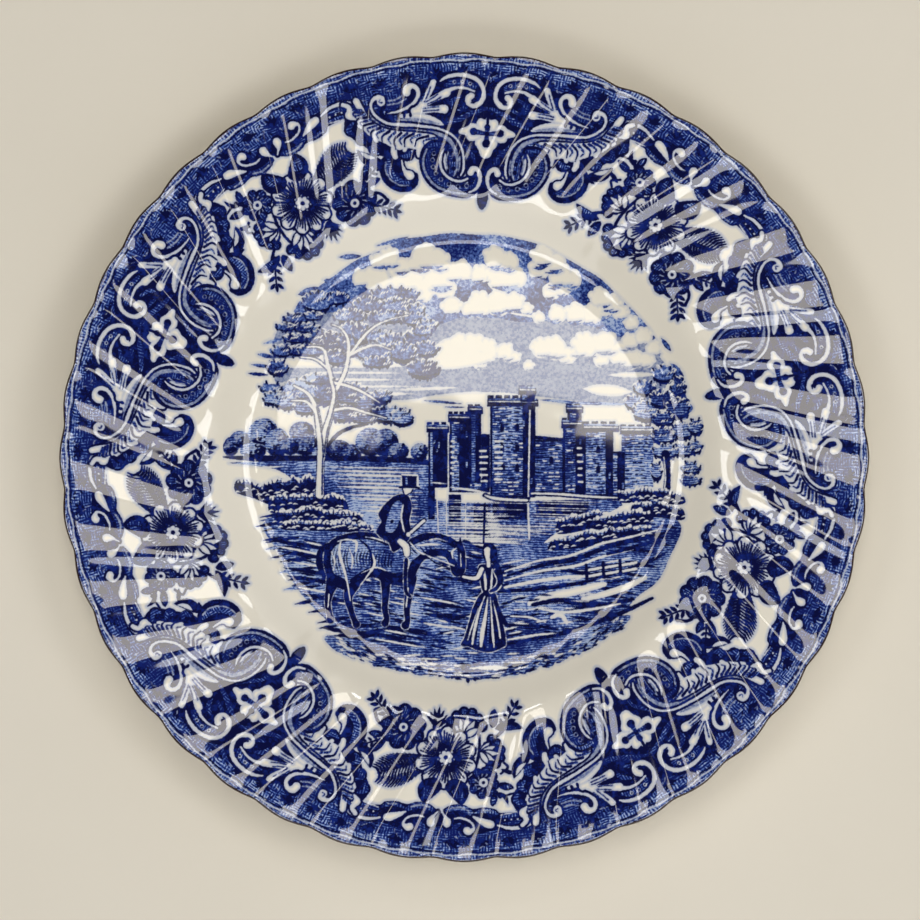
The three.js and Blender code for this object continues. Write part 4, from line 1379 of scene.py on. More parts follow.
def horse(sheet):
    """A dark horse with its head down, seen from its right side."""
    body = [
        (-44.6, -29.4), (-42.4, -26.4), (-38, -24.6), (-33, -23.9), (-28, -24.6), (-23, -26.4),
        (-18, -26.2), (-13, -24.4), (-8.4, -24.4), (-4.2, -25.8), (-1.9, -27.0), (-1.3, -25.6),
        (-0.6, -27.6), (0.3, -30.4), (0.4, -35.4), (-0.4, -37.6), (-2.2, -38.3), (-3.9, -37.4),
        (-4.7, -34.6), (-6.4, -31.9), (-10, -32.0), (-13, -33.2), (-15, -36.4), (-16.6, -39.8),
        (-20, -41.4), (-25.4, -40.2), (-29.6, -38.4), (-33.4, -40.6), (-36.4, -42.8), (-41, -41.6),
        (-44.0, -38.2), (-45.2, -33.6),
    ]
    legs = [
        [(-17.2, -39, 4.0), (-17.8, -44, 2.6), (-18.4, -49, 2.0), (-18.2, -52.4, 1.8), (-18.9, -54, 2.6)],
        [
            (-25.2, -39, 3.6), (-25.2, -43.6, 2.4), (-25.5, -48.6, 1.9), (-24.9, -51.8, 1.8),
            (-25.4, -53.2, 2.4),
        ],
        [
            (-35.6, -40, 5.2), (-37.2, -44.6, 2.8), (-36.4, -49, 1.9), (-35.2, -52.4, 1.8),
            (-34.6, -53.6, 2.4),
        ],
        [
            (-41.4, -38, 5.4), (-43.0, -42.6, 3.0), (-43.8, -46.6, 2.0), (-43.2, -50.4, 1.8),
            (-42.8, -52.2, 2.4),
        ],
    ]
    for leg in legs:
        sheet.stroke(CHINA, leg, grow=0.22)
    sheet.area(CHINA, body, grow=0.2)
    for leg in legs:
        sheet.stroke(NAVY, leg)
    sheet.area(NAVY, body)
    sheet.area(MID, body, grow=-2.4)
    for shade in [
        [(-43.6, -33, 1.0), (-42.6, -38, 2.4), (-38.6, -40.4, 2.6)],
        [(-36, -39.6, 1.6), (-30, -36.9, 3.0), (-24, -38.6, 3.4), (-18.4, -38.6, 3.0)],
        [(-17.6, -36.6, 2.6), (-15.4, -33.6, 2.4), (-12, -31.8, 1.6), (-7, -30.8, 1.2)],
        [(-30.6, -25.6, 1.2), (-26, -26.8, 1.8), (-20.6, -27.4, 1.6)],
        [(-3.8, -35, 1.6), (-2.0, -37, 1.8)], [(-40.8, -25.6, 0.8), (-35, -24.9, 1.0)],
    ]:
        sheet.stroke(NAVY, shade)
    sheet.stroke(NAVY, [
        (-43.8, -28, 1.4), (-46.2, -30.4, 2.0), (-46.4, -34.6, 2.2), (-45.0, -38.6, 1.2),
        (-45.6, -41, 0.4),
    ])
    for k in range(13):
        x = -34.6 + 1.0 * k
        sheet.stroke(NAVY, [(x, -29.0 - 0.1 * k, 0.2), (x - 0.9, -32 - 0.2 * k, 0.55), (x - 0.4, -35.6, 0.2)])
    for k in range(6):
        sheet.stroke(NAVY, [
            (-41.4 + 0.9 * k, -28.4, 0.2), (-42.2 + 0.9 * k, -33, 0.5), (-41 + 0.9 * k, -38, 0.2),
        ])
    for k in range(8):
        sheet.stroke(NAVY, [
            (-20.4 + 1.5 * k, -28.4, 0.2), (-19.2 + 1.5 * k, -30.0, 0.55), (-17.6 + 1.4 * k, -31.2, 0.2),
        ])
    sheet.stroke(NAVY, [(-33.6, -26.4, 0.5), (-30.4, -29.6, 0.9), (-29.8, -35.0, 0.7), (-32.4, -39, 0.4)])
    sheet.stroke(CHINA, [(-36.4, -26.4, 0.4), (-34.6, -27.4, 1.0), (-34.8, -30.2, 0.5)])
    sheet.stroke(CHINA, [(-40.6, -27.0, 0.3), (-38, -26.4, 0.6), (-36, -26.6, 0.3)])
    sheet.stroke(CHINA, [(-31.6, -25.6, 0.3), (-28, -26.2, 0.6), (-24.4, -27.6, 0.3)])
    sheet.stroke(CHINA, [(-15.2, -28.4, 0.4), (-11.6, -28.0, 0.9), (-7.4, -28.0, 0.4)])
    for line in [
        [(-39.6, -26.6, 0.5), (-40.0, -31, 1.0), (-38.6, -36, 0.9), (-37.4, -41, 0.6), (-36.6, -46, 0.5)],
        [(-29.4, -31, 0.5), (-28.8, -34.4, 0.9), (-31, -38, 0.6), (-33.6, -41.4, 0.4)],
        [(-43.4, -44, 0.5), (-43.7, -48, 0.5)], [(-18.0, -42, 0.5), (-18.6, -48, 0.5)],
        [(-2.6, -29.2, 0.5), (-3.9, -30.4, 0.7), (-3.6, -32.4, 0.5)], [(-1.2, -31, 0.4), (-1.0, -35, 0.5)],
    ]:
        sheet.stroke(CHINA, line)
    for line in [
        [(-42.6, -30.4, 0.3), (-41.6, -33.4, 0.6), (-41.9, -36.4, 0.3)],
        [(-37.0, -29.0, 0.3), (-35.8, -32.6, 0.7), (-36.2, -36.0, 0.3)],
        [(-19.6, -30.4, 0.3), (-17.8, -33.6, 0.7), (-18.4, -36.8, 0.3)],
        [(-33.0, -37.2, 0.2), (-28.4, -35.4, 0.6), (-24.4, -36.6, 0.2)],
        [(-12.6, -27.0, 0.2), (-9.0, -26.2, 0.5), (-5.4, -27.0, 0.2)],
    ]:
        sheet.stroke(CHINA, line)
    # Reins.
    sheet.stroke(CHINA, [(-3.2, -34.8, 0.4), (-8, -33.0, 0.5), (-14, -30.6, 0.5), (-17.4, -27.4, 0.4)])
    sheet.stroke(NAVY, [(-4.6, -35.6), (-8.6, -34.2), (-12.6, -31.6)], width=0.5)


def rider(sheet):
    """A small figure in a tall hat, the face left blank."""
    coat = [
        (-19.6, -11.8), (-22.6, -12.6), (-25.8, -15.4), (-27.6, -18.4), (-26.6, -20.6), (-28.2, -23.6),
        (-27.0, -25.6), (-24.2, -27.4), (-22.8, -30.4), (-19.2, -28.0), (-17.0, -24.6), (-17.6, -20.4),
        (-16.9, -16.6), (-17.6, -13.0),
    ]
    sheet.area(CHINA, coat, grow=0.25)
    sheet.area(NAVY, coat)
    sheet.area(MID, [
        (-22.2, -14.4), (-20.0, -14.8), (-20.6, -19.6), (-22.6, -23.8), (-25.2, -23.4), (-24.4, -18.6),
    ])
    sheet.stroke(CHINA, [(-19.6, -15.2, 0.4), (-20.2, -19.4, 0.7), (-19.2, -24.0, 0.5)])
    sheet.dot(NAVY, (-23.2, -20.6), 0.6)
    sheet.scroll([(-18.6, -11.2, 1.4), (-18.2, -10.2, 2.8), (-18.0, -9.8, 2.6)], outline=0.35)
    sheet.area(CHINA, [
        (-20.6, -9.6), (-20.2, -8.8), (-20.0, -5.6), (-15.0, -5.8), (-14.8, -9.0), (-14.2, -9.8),
    ], smooth=False, grow=0.3)
    sheet.area(NAVY, [(-19.9, -9.4), (-20.0, -5.9), (-15.2, -6.1), (-15.4, -9.4)], smooth=False)
    sheet.stroke(NAVY, [(-20.8, -9.7, 0.7), (-17.6, -9.4, 1.0), (-14.5, -9.9, 0.7)])
    sheet.stroke(MID, [(-18.6, -6.8, 0.6), (-18.5, -8.6, 0.6)])
    # Breeches, boot and stirrup.
    sheet.scroll([(-20.6, -27.0, 1.8), (-18.8, -28.6, 2.2), (-18.4, -31.0, 1.9)], outline=0.4)
    sheet.scroll([
        (-18.6, -33, 1.3), (-18.9, -38, 1.2), (-18.7, -43, 1.1), (-17.4, -44.6, 1.0),
    ], outline=0.2, tone=NAVY, rim=CHINA)
    sheet.scroll([(-17.2, -24.2, 0.9), (-14.6, -21.8, 1.0), (-12.9, -20.3, 0.9)], outline=0.45)
    sheet.dot(CHINA, (-17.9, -24.8), 0.75)


def lady(sheet):
    """A small standing figure in a long dress, the face left blank."""
    skirt = [
        (5.9, -43.4), (3.2, -47.4), (1.8, -52), (0.2, -57.4), (-1.0, -60.2), (1.6, -60.8), (4, -61.8),
        (8, -62.6), (12, -61.2), (13.4, -59.8), (12.6, -54), (11.2, -48.4), (9.8, -43.6),
    ]
    train = [(10.0, -44.4), (12.0, -49.6), (14.8, -54.6), (12.2, -53.4), (10.6, -49.4)]
    bodice = [
        (4.6, -35.2), (6.2, -34.4), (9.6, -34.6), (11.0, -37), (10.4, -40.6), (9.4, -43.4), (6.2, -43.4),
        (5.2, -39.6),
    ]
    for shape in (skirt, bodice):
        sheet.area(CHINA, shape, grow=0.3)
    sheet.area(NAVY, train)
    for shape in (skirt, bodice):
        sheet.area(NAVY, shape)
    for fold in [
        [(6.6, -44.6, 0.3), (4.6, -50, 0.8), (3.2, -56, 1.0), (2.6, -60, 0.6)],
        [(7.6, -45, 0.3), (6.8, -51, 1.1), (5.8, -56.6, 1.5), (5.4, -60.6, 0.9)],
        [(8.4, -45, 0.3), (8.8, -51, 0.6), (9.2, -57, 0.8), (9.6, -61, 0.5)],
        [(9.2, -46, 0.3), (10.6, -52, 0.6), (11.6, -58, 0.6)],
        [(4.6, -48.4, 0.3), (2.6, -54, 0.5), (1.2, -58.6, 0.4)],
    ]:
        sheet.stroke(CHINA, fold)
    for fold in [
        [(6.4, -47, 0.3), (5.2, -53, 0.8), (4.2, -60, 0.6)],
        [(8.0, -47, 0.3), (7.8, -54, 0.6), (7.6, -61, 0.5)],
    ]:
        sheet.stroke(MID, fold)
    for line in [
        [(6.4, -36.4, 0.5), (6.8, -39.6, 1.0), (6.9, -42.4, 0.6)],
        [(9.0, -36, 0.4), (8.8, -39.4, 0.8), (8.6, -42.4, 0.5)],
    ]:
        sheet.stroke(CHINA, line)
    # Arms: one at the waist, one held out to the horse.
    sheet.scroll([
        (10.2, -36.6, 1.2), (11.4, -39.6, 1.3), (10.4, -42.0, 1.2), (8.6, -43.0, 0.9),
    ], outline=0.4, tone=NAVY, rim=CHINA)
    sheet.scroll([(5.6, -36.0, 1.5), (4.2, -38.6, 1.4), (1.8, -38.8, 1.1), (-0.4, -38.3, 0.8)], outline=0.45)
    # Head and hair.
    sheet.area(NAVY, [
        (6.0, -29.0), (7.2, -27.8), (9.2, -28.0), (10.4, -29.8), (10.8, -33), (12.2, -37.4), (12.2, -41),
        (11.2, -38.4), (9.6, -34.6), (8.6, -33.4), (6.4, -32.6),
    ], grow=0.15)
    sheet.stroke(CHINA, [(7.4, -29.8, 2.0), (7.4, -31.4, 1.7), (7.8, -33.4, 1.2), (7.8, -34.8, 1.4)])


def draw_centre(sheet, rng):
    """The whole picture, from the far sky to the figures in front."""
    sky(sheet, rng)
    hedge(sheet, rng)
    lake(sheet, rng)
    ground(sheet, rng)
    castle(sheet, rng)
    far_trees(sheet, rng)
    bank(sheet, rng, [
        (50, -12.0, 70, -12.6, 2.0), (54, -16.0, 70, -17.4, 2.2), (30, -21.5, 46, -19.4, 2.6),
        (42, -21, 60, -18.4, 2.2), (28, -27.4, 60, -23.6, 2.2),
    ])
    bank(sheet, rng, [
        (-73, -8, -62, -12, 2.6), (-64, -10, -46, -9, 3.0), (-62, -14.4, -38, -14.6, 2.8),
        (-60, -18.4, -33, -19.6, 2.2), (-58, -21.6, -30, -22.6, 1.4),
    ])
    road(sheet, rng)
    grass_edge(sheet, rng)
    great_tree(sheet, rng)
    horse(sheet)
    rider(sheet)
    lady(sheet)


# ---- Meshes --------------------------------------------------------------------------

def mesh_piece(name, points, faces):
    """A smooth-shaded mesh object from an array of points and an array of quads."""
    mesh = bpy.data.meshes.new(name)
    points = points.reshape(-1, 3)
    mesh.vertices.add(len(points))
    mesh.vertices.foreach_set("co", points.astype(np.float32).ravel())
    corners = faces.shape[1]
    mesh.loops.add(faces.size)
    mesh.loops.foreach_set("vertex_index", faces.astype(np.int32).ravel())
    mesh.polygons.add(len(faces))
    mesh.polygons.foreach_set("loop_start", np.arange(len(faces), dtype=np.int32) * corners)
    mesh.polygons.foreach_set("use_smooth", np.ones(len(faces), bool))
    mesh.update(calc_edges=True)
    mesh.validate()
    piece = bpy.data.objects.new(name, mesh)
    bpy.context.scene.collection.objects.link(piece)
    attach(piece, "root")
    return piece


def ring_faces(rows, columns):
    """Quads of a grid that closes on itself across its columns."""
    row, column = np.meshgrid(np.arange(rows - 1), np.arange(columns), indexing="ij")
    right = (column + 1) % columns
    quads = np.stack([row * columns + column, row * columns + right,
                      (row + 1) * columns + right, (row + 1) * columns + column], axis=-1)
    return quads.reshape(-1, 4)


def plate_body(material):
    """The whole plate as one closed surface, sunk a little where a print sheet covers it."""
    columns = FLUTES * 30
    face = face_section()
    # A sixth of the points are enough here; the first ones lie on the axis.
    face = face[[*range(24, len(face) - 1, 6), len(face) - 1]]
    back = back_section()[1:]
    section = np.concatenate([face, back])
    on_back = np.arange(len(section)) >= len(face)
    sink = BODY_SINK * smoothstep(RIM_RADIUS - section[:, 0], 0.3, 2.0) * ~on_back
    # Near the lip the back takes up the full flutes of the face.
    blend = smoothstep(section[:, 1], LIP_THICKNESS + 16, RIM_HEIGHT - 1)
    share = np.where(on_back, BACK_FLUTE_SHARE + (1 - BACK_FLUTE_SHARE) * blend, 1.0)
    turn = np.arange(columns) * 2 * math.pi / columns
    radius, turn = np.meshgrid(section[:, 0], turn, indexing="ij")
    points = fluted(radius, turn, (section[:, 1] - sink)[:, None], share[:, None])
    faces = ring_faces(len(section), columns)[:, ::-1]
    # Two small holes on the axis are closed with fans of triangles.
    middle = np.array([[0, 0, points[0, 0, 2]], [0, 0, points[-1, 0, 2]]])
    count = points.shape[0] * columns
    piece = mesh_piece("glazed_body", np.concatenate([points.reshape(-1, 3), middle]), faces)
    mesh = piece.data
    shape = bmesh.new()
    shape.from_mesh(mesh)
    shape.verts.ensure_lookup_table()
    last = (points.shape[0] - 1) * columns
    for k in range(columns):
        following = (k + 1) % columns
        for corners in ((count, k, following), (count + 1, last + following, last + k)):
            shape.faces.new([shape.verts[corner] for corner in corners]).smooth = True
    shape.to_mesh(mesh)
    shape.free()
    mesh.materials.append(material)
    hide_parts("plate_body")
    return piece


def store_lip(piece, distance):
    """How far each point is from the lip's outer edge, in millimetres along the face."""
    lip = piece.data.attributes.new("lip", "FLOAT", "POINT")
    lip.data.foreach_set("value", distance.astype(np.float32).ravel())


def store_ink(piece, levels):
    """The three signed distances of a print sheet, for its material."""
    ink = piece.data.attributes.new("ink", "FLOAT_VECTOR", "POINT")
    ink.data.foreach_set("vector", levels.T.astype(np.float32).ravel())


def border_sheet(material):
    """The ring of print from the shoulder to the lip's edge."""
    columns_per_unit = 480
    row_height = 0.29
    columns = columns_per_unit * REPEATS
    face = face_section()
    face = face[face[:, 0] > SHEET_JOIN]
    run = np.concatenate([[0], np.cumsum(np.hypot(*np.diff(face, axis=0).T))])
    rows = int(run[-1] / row_height)
    places = np.linspace(0, run[-1], rows)
    section = np.column_stack([np.interp(places, run, face[:, 0]), np.interp(places, run, face[:, 1])])
    across = (np.arange(columns_per_unit) / columns_per_unit - 0.5) * UNIT
    print_radius, angle = np.meshgrid(section[:, 0], across, indexing="ij")
    sheet = Sheet(print_radius * np.sin(np.radians(angle)), print_radius * np.cos(np.radians(angle)),
                  polar=True, repeat=(-UNIT, 0, UNIT))
    draw_border(sheet, np.random.default_rng(7))
    levels = np.tile(sheet.levels.reshape(3, rows, columns_per_unit), (1, 1, REPEATS)).reshape(3, -1)
    turn = math.pi / 2 - PRINT_TURN - np.radians(np.arange(columns) / columns_per_unit * UNIT - UNIT / 2)
    radius, turn = np.meshgrid(section[:, 0], turn, indexing="ij")
    points = fluted(radius, turn, section[:, 1][:, None] + PRINT_LIFT)
    piece = mesh_piece("border_print", points, ring_faces(rows, columns))
    store_ink(piece, levels)
    store_lip(piece, np.repeat(run[-1] - places, columns))
    piece.data.materials.append(material)
    return piece


def disc_grid(radius, cells):
    """A square grid of points pressed into a disc with even cells."""
    side = np.linspace(-1, 1, cells + 1)
    u, v = np.meshgrid(side, side, indexing="xy")
    wide = np.abs(u) >= np.abs(v)
    reach = np.where(wide, u, v)
    safe = np.where(reach == 0, 1, reach)
    angle = np.where(wide, math.pi / 4 * v / safe, math.pi / 2 - math.pi / 4 * u / safe)
    return radius * reach * np.cos(angle), radius * reach * np.sin(angle)


def centre_sheet(material):
    """The disc of print over the well and the foot of the shoulder."""
    cells = 520
    x, y = disc_grid(SHEET_JOIN + 0.2, cells)
    sheet = Sheet(x, y)
    draw_centre(sheet, np.random.default_rng(11))
    face = face_section()
    radius = np.hypot(x, y)
    height = np.interp(radius, face[:, 0], face[:, 1])
    points = fluted(radius, np.arctan2(y, x), height + PRINT_LIFT / 2)
    row, column = np.meshgrid(np.arange(cells), np.arange(cells), indexing="ij")
    corner = row * (cells + 1) + column
    faces = np.stack([corner, corner + 1, corner + cells + 2, corner + cells + 1], axis=-1).reshape(-1, 4)
    piece = mesh_piece("centre_print", points, faces)
    store_ink(piece, sheet.levels)
    piece.data.materials.append(material)
    return piece


# ---- Materials -----------------------------------------------------------------------

def srgb(red, green, blue):
    """A colour given as 0 to 255 values, made linear."""
    return tuple(
        ((c / 255 + 0.055) / 1.055)**2.4 if c > 10 else c / 255 / 12.92
        for c in (red, green, blue)
    ) + (1,)


CHINA_COLOR = srgb(239, 233, 219)
HALO_COLOR = srgb(146, 164, 206)
PALE_LIGHT = srgb(158, 166, 188)
PALE_DARK = srgb(98, 112, 158)
MID_LIGHT = srgb(74, 104, 178)
LAND_LIGHT = srgb(82, 110, 180)
SPARK_COLOR = srgb(168, 184, 216)
MID_DARK = srgb(12, 26, 98)
NAVY_LIGHT = srgb(16, 38, 122)
NAVY_DARK = srgb(2, 7, 62)
EDGE_COLOR = srgb(52, 34, 28)
LIP_LINE = 1.9  # width of the brown line, in millimetres
BISCUIT_COLOR = srgb(222, 206, 180)


class Nodes:
    """Short calls for building a node tree."""

    def __init__(self, name):
        self.material = bpy.data.materials.new(name)
        self.material.use_nodes = True
        self.tree = self.material.node_tree
        self.tree.nodes.clear()

    def add(self, kind, inputs=None, **settings):
        """A node whose inputs are values or other nodes' outputs."""
        node = self.tree.nodes.new(kind)
        for key, value in settings.items():
            setattr(node, key, value)
        for key, value in (inputs or {}).items():
            if isinstance(value, bpy.types.NodeSocket):
                self.tree.links.new(value, node.inputs[key])
            else:
                node.inputs[key].default_value = value
        return node

    def math(self, operation, a, b=0.0, c=0.0):
        node = self.add("ShaderNodeMath", {0: a, 1: b, 2: c}, operation=operation)
        return node.outputs[0]

    def mix(self, factor, a, b):
        node = self.add("ShaderNodeMix", {0: factor, 6: a, 7: b}, data_type="RGBA")
        return node.outputs[2]

    def step(self, value, centre, width):
        """A smooth rise from 0 to 1 around a centre; a negative width makes it a fall."""
        node = self.add("ShaderNodeMapRange", {0: value, 1: centre - width, 2: centre + width},
                        interpolation_type="SMOOTHSTEP")
        return node.outputs[0]

    def noise(self, vector, scale, detail=2.0):
        node = self.add("ShaderNodeTexNoise", {"Vector": vector, "Scale": scale, "Detail": detail})
        return node.outputs["Fac"]

    def glaze(self, color, where, roughness=0.03):
        """The glassy surface over a colour, with the faint ripple that fired glaze has."""
        ripple = self.noise(where, 90.0, 1.0)
        bump = self.add("ShaderNodeBump", {"Height": ripple, "Strength": 0.16, "Distance": 0.0004})
        wear = self.noise(where, 260.0, 3.0)
        rough = self.add("ShaderNodeMapRange", {0: wear, 1: 0.35, 2: 0.75, 3: roughness, 4: roughness + 0.03})
        shader = self.add("ShaderNodeBsdfPrincipled", {
            "Base Color": color, "Roughness": rough.outputs[0], "IOR": 1.7, "Normal": bump.outputs[0],
        })
        self.add("ShaderNodeOutputMaterial", {"Surface": shader.outputs[0]})
        return self.material


def china(nodes, where):
    """Cream earthenware seen through the glaze, slightly cloudy."""
    cloud = nodes.noise(where, 28.0, 3.0)
    fleck = nodes.noise(where, 900.0, 2.0)
    shade = nodes.math("MULTIPLY_ADD", cloud, 0.10, nodes.math("MULTIPLY", fleck, 0.04))
    warm = (CHINA_COLOR[0] * 0.93, CHINA_COLOR[1] * 0.92, CHINA_COLOR[2] * 0.88, 1)
    return nodes.mix(nodes.math("MULTIPLY", shade, 3.2), CHINA_COLOR, warm)


def body_material():
    """China all over, and bare biscuit on the flat of the foot ring."""
    nodes = Nodes("glazed_china")
    where = nodes.add("ShaderNodeTexCoord").outputs["Object"]
    color = china(nodes, where)
    split = nodes.add("ShaderNodeSeparateXYZ", {0: where})
    bare = nodes.step(split.outputs["Z"], 0.00012, -0.00008)
    color = nodes.mix(bare, color, BISCUIT_COLOR)
    return nodes.glaze(color, where)


def hatch(nodes, along, pitch, waver):
    """Engraved lines, a pitch apart in a coordinate: 0 between them, 1 on them."""
    bent = nodes.math("MULTIPLY_ADD", waver, 0.9, along)
    wave = nodes.math("SINE", nodes.math("MULTIPLY", bent, 2 * math.pi / pitch))
    return nodes.math("MULTIPLY_ADD", wave, 0.5, 0.5)


# How each print is engraved. "ruled" and "patchy" weigh the lines and the slow drift of
# tone in the grain. Grain under "spark" is left light and grain over "dark" is cut deep.
# "trim" draws the edge of the ink in, and "bleed" is how far the blue tints the glaze.
BORDER_CUT = {
    "light": MID_LIGHT, "ruled": 0.34, "patchy": 0.5, "spark": 0.21, "dark": 0.37, "trim": -0.15,
    "bleed": 0.40,
}
CENTRE_CUT = {
    "light": LAND_LIGHT, "ruled": 0.22, "patchy": 0.9, "spark": 0.37, "dark": 0.53, "trim": -0.17,
    "bleed": 0.12,
}
ROW_PITCH = 0.80  # millimetres
COLUMN_PITCH = 0.92  # half degrees


def engraved_lines(nodes, where, drift, polar):
    """The fine pattern of the engraving, from 0 to 1."""
    split = nodes.add("ShaderNodeSeparateXYZ", {0: where})
    x = nodes.math("MULTIPLY", split.outputs["X"], 1 / MM)
    y = nodes.math("MULTIPLY", split.outputs["Y"], 1 / MM)
    if polar:
        # Rows that follow the lip and columns that run out to it take turns in patches.
        radius = nodes.math("SQRT", nodes.math("MULTIPLY_ADD", x, x, nodes.math("MULTIPLY", y, y)))
        turn = nodes.math("MULTIPLY", nodes.math("ARCTAN2", y, x), 360 / math.pi)
        rows = hatch(nodes, radius, ROW_PITCH, drift)
        columns = hatch(nodes, turn, COLUMN_PITCH, drift)
        pattern = nodes.mix(nodes.step(nodes.noise(where, 420.0, 1.0), 0.5, 0.12), rows, columns)
    else:
        # The sky is stippled, the land and the water are ruled.
        rows = hatch(nodes, y, ROW_PITCH, drift)
        pattern = nodes.mix(nodes.step(y, 19.0, -3.0), nodes.noise(where, 1700.0, 1.0), rows)
    return nodes.add("ShaderNodeSeparateColor", {0: pattern}).outputs[0]


def print_material(name, cut, polar):
    """China under three strengths of blue ink, broken up as engraving is."""
    nodes = Nodes(name)
    where = nodes.add("ShaderNodeTexCoord").outputs["Object"]
    fine = nodes.noise(where, 1100.0, 2.0)
    coarse = nodes.noise(where, 330.0, 2.0)
    tone = nodes.noise(where, 95.0, 2.0)
    drift = nodes.math("MULTIPLY_ADD", tone, 3.0, coarse)
    lines = engraved_lines(nodes, where, drift, polar)
    grain = nodes.math("MULTIPLY_ADD", fine, 0.74, 0.11 - cut["ruled"] / 2)
    grain = nodes.math("MULTIPLY_ADD", lines, cut["ruled"], grain)
    grain = nodes.math("MULTIPLY_ADD", tone, cut["patchy"], nodes.math("ADD", grain, -cut["patchy"] / 2))
    if polar:
        # The ground of the border is cut lighter in a band beside the lip.
        lip = nodes.add("ShaderNodeAttribute", attribute_name="lip").outputs["Fac"]
        grain = nodes.math("MULTIPLY_ADD", nodes.step(lip, 6.4, -1.8), -0.13, grain)

    ink = nodes.add("ShaderNodeAttribute", attribute_name="ink").outputs["Vector"]
    ink = nodes.add("ShaderNodeSeparateXYZ", {0: ink})
    waver = nodes.math("MULTIPLY_ADD", fine, 0.34, cut["trim"])
    pale, mid, navy = (nodes.step(nodes.math("ADD", ink.outputs[k], waver), 0.0, 0.17) for k in range(3))

    # The blue has flowed a little into the glaze beside each inked shape.
    strength = nodes.math("MULTIPLY_ADD", fine, 0.5, cut["bleed"])
    halo = nodes.math("MULTIPLY", nodes.step(ink.outputs[0], -0.62, 0.68), strength)
    color = nodes.mix(halo, china(nodes, where), HALO_COLOR)

    pale_grain = nodes.math("MULTIPLY_ADD", tone, 0.25, fine)
    pale_blue = nodes.mix(nodes.step(pale_grain, 0.64, 0.2), PALE_LIGHT, PALE_DARK)
    mid_blue = nodes.mix(nodes.step(grain, cut["spark"], 0.07), SPARK_COLOR, cut["light"])
    mid_blue = nodes.mix(nodes.step(grain, cut["dark"], 0.13), mid_blue, MID_DARK)
    navy_grain = nodes.math("MULTIPLY_ADD", fine, 0.5, coarse)
    navy_blue = nodes.mix(nodes.step(navy_grain, 0.86, 0.16), NAVY_DARK, NAVY_LIGHT)
    for share, blue in ((pale, pale_blue), (mid, mid_blue), (navy, navy_blue)):
        color = nodes.mix(share, color, blue)
    if polar:
        # Thin brown line painted along the lip.
        waver = nodes.math("MULTIPLY_ADD", coarse, 0.5, -0.25)
        on_lip = nodes.step(nodes.math("ADD", lip, waver), LIP_LINE, -0.12)
        color = nodes.mix(on_lip, color, EDGE_COLOR)
    return nodes.glaze(color, where)


# ---- Stage, lights and camera --------------------------------------------------------

def floor():
    """A pale sheet of paper under the plate."""
    size = 3.0
    mesh = bpy.data.meshes.new("floor")
    mesh.from_pydata([
        (-size, -size, 0), (size, -size, 0), (size, size, 0), (-size, size, 0),
    ], [], [(0, 1, 2, 3)])
    stage = bpy.data.objects.new("floor", mesh)
    bpy.context.scene.collection.objects.link(stage)
    nodes = Nodes("floor_paper")
    where = nodes.add("ShaderNodeTexCoord").outputs["Object"]
    cloud = nodes.noise(where, 9.0, 3.0)
    color = nodes.mix(cloud, srgb(233, 226, 212), srgb(225, 218, 203))
    shader = nodes.add(
        "ShaderNodeBsdfPrincipled", {"Base Color": color, "Roughness": 0.75, "Specular IOR Level": 0.2},
    )
    nodes.add("ShaderNodeOutputMaterial", {"Surface": shader.outputs[0]})
    mesh.materials.append(nodes.material)


WARM = (1.0, 0.94, 0.83)
WHITE = (1, 1, 1)
SOFTBOX_HEIGHT = 0.95


def area_light(name, place, aim, width, height, power, tint=WHITE):
    """A rectangular light that faces a point. Metres and watts."""
    light = bpy.data.lights.new(name, "AREA")
    light.shape = "RECTANGLE"
    light.size = width
    light.size_y = height
    light.energy = power
    light.color = tint
    lamp = bpy.data.objects.new(name, light)
    lamp.location = place
    direction = np.array(place, float) - np.array(aim, float)
    lamp.rotation_euler = Vector(direction).to_track_quat("Z", "Y").to_euler()
    bpy.context.scene.collection.objects.link(lamp)


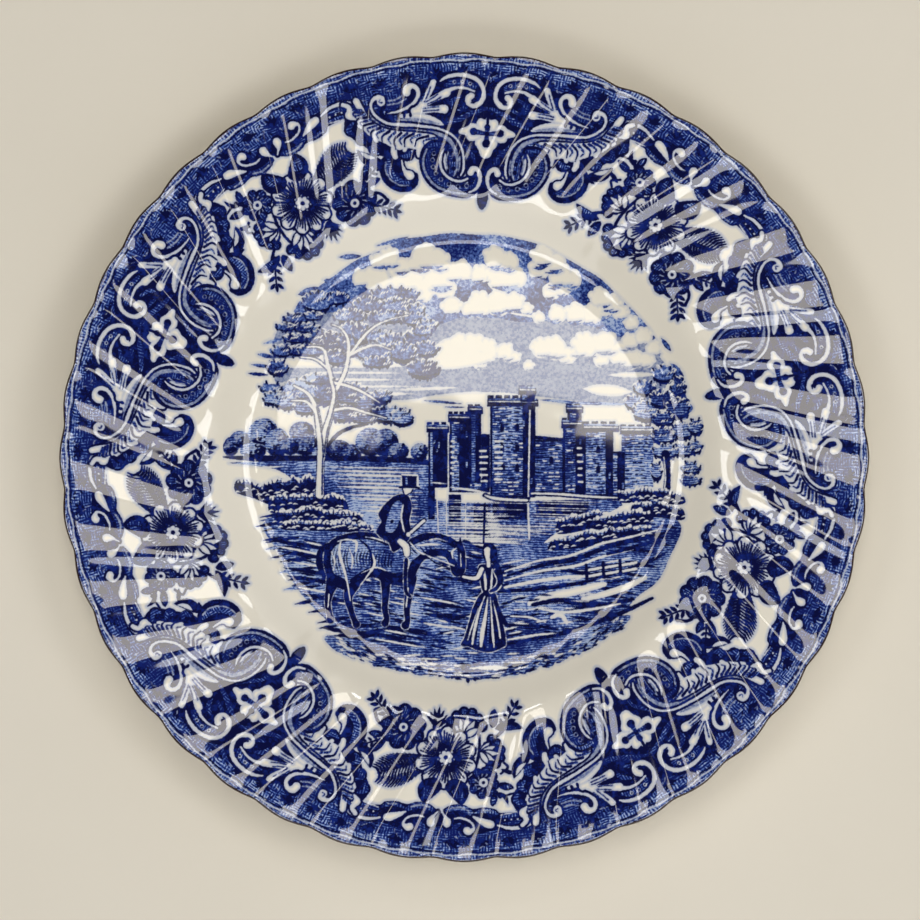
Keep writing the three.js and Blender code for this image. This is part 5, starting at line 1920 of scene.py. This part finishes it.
def lights():
    """Softboxes for the reflections, a large key light and a fill."""
    world = bpy.data.worlds.new("studio")
    world.use_nodes = True
    background = world.node_tree.nodes["Background"]
    background.inputs[0].default_value = (1.0, 0.985, 0.96, 1)
    background.inputs[1].default_value = 0.05
    bpy.context.scene.world = world
    for name, x, y, width, height, power, tint in [
        # A softbox beside the camera washes the upper half of the well, and two thin
        # corners reach lower at its sides.
        ("softbox", 0.0, 0.255, 0.28, 0.42, 1.6, WARM),
        ("softbox_left_corner", -0.10, 0.031, 0.08, 0.028, 0.031, WARM),
        ("softbox_right_corner", 0.11, 0.031, 0.06, 0.028, 0.023, WARM),
        # Three more, further out, draw the ring round it.
        ("near_softbox", 0.0, -0.48, 0.8, 0.24, 2.7, WHITE),
        ("right_softbox", 0.68, 0.05, 0.46, 0.5, 3.2, WHITE),
        ("left_softbox", -0.62, 0.05, 0.4, 0.4, 2.3, WHITE),
    ]:
        area_light(name, (x, y, SOFTBOX_HEIGHT), (x, y, 0), width, height, power, tint)
    area_light("window", (0.0, 0.95, 1.3), (0, 0, 0), 0.5, 0.14, 1.5)
    area_light("key", (1.66, 0.75, 1.15), (0, 0, 0), 1.8, 1.6, 5.5)
    area_light("near_fill", (0.2, -1.6, 1.1), (0, 0, 0), 2.6, 1.5, 9.5)


def camera():
    """Straight above the plate, which fills most of the picture."""
    height = 0.75
    plate_share_of_picture = 0.8826
    field = 2 * RIM_RADIUS * MM / plate_share_of_picture
    lens = bpy.data.cameras.new("camera")
    lens.sensor_width = 36
    lens.lens = lens.sensor_width * (height - PLATE_HEIGHT * MM) / field
    view = bpy.data.objects.new("camera", lens)
    view.location = (-0.00467 * field, -0.00304 * field, height)
    bpy.context.scene.collection.objects.link(view)
    bpy.context.scene.camera = view


# ---- Assembly ------------------------------------------------------------------------

plate_body(body_material())
border_sheet(print_material("border_transfer", BORDER_CUT, polar=True))
centre_sheet(print_material("centre_transfer", CENTRE_CUT, polar=False))
floor()
lights()
camera()
bpy.context.scene.view_settings.view_transform = "Standard"
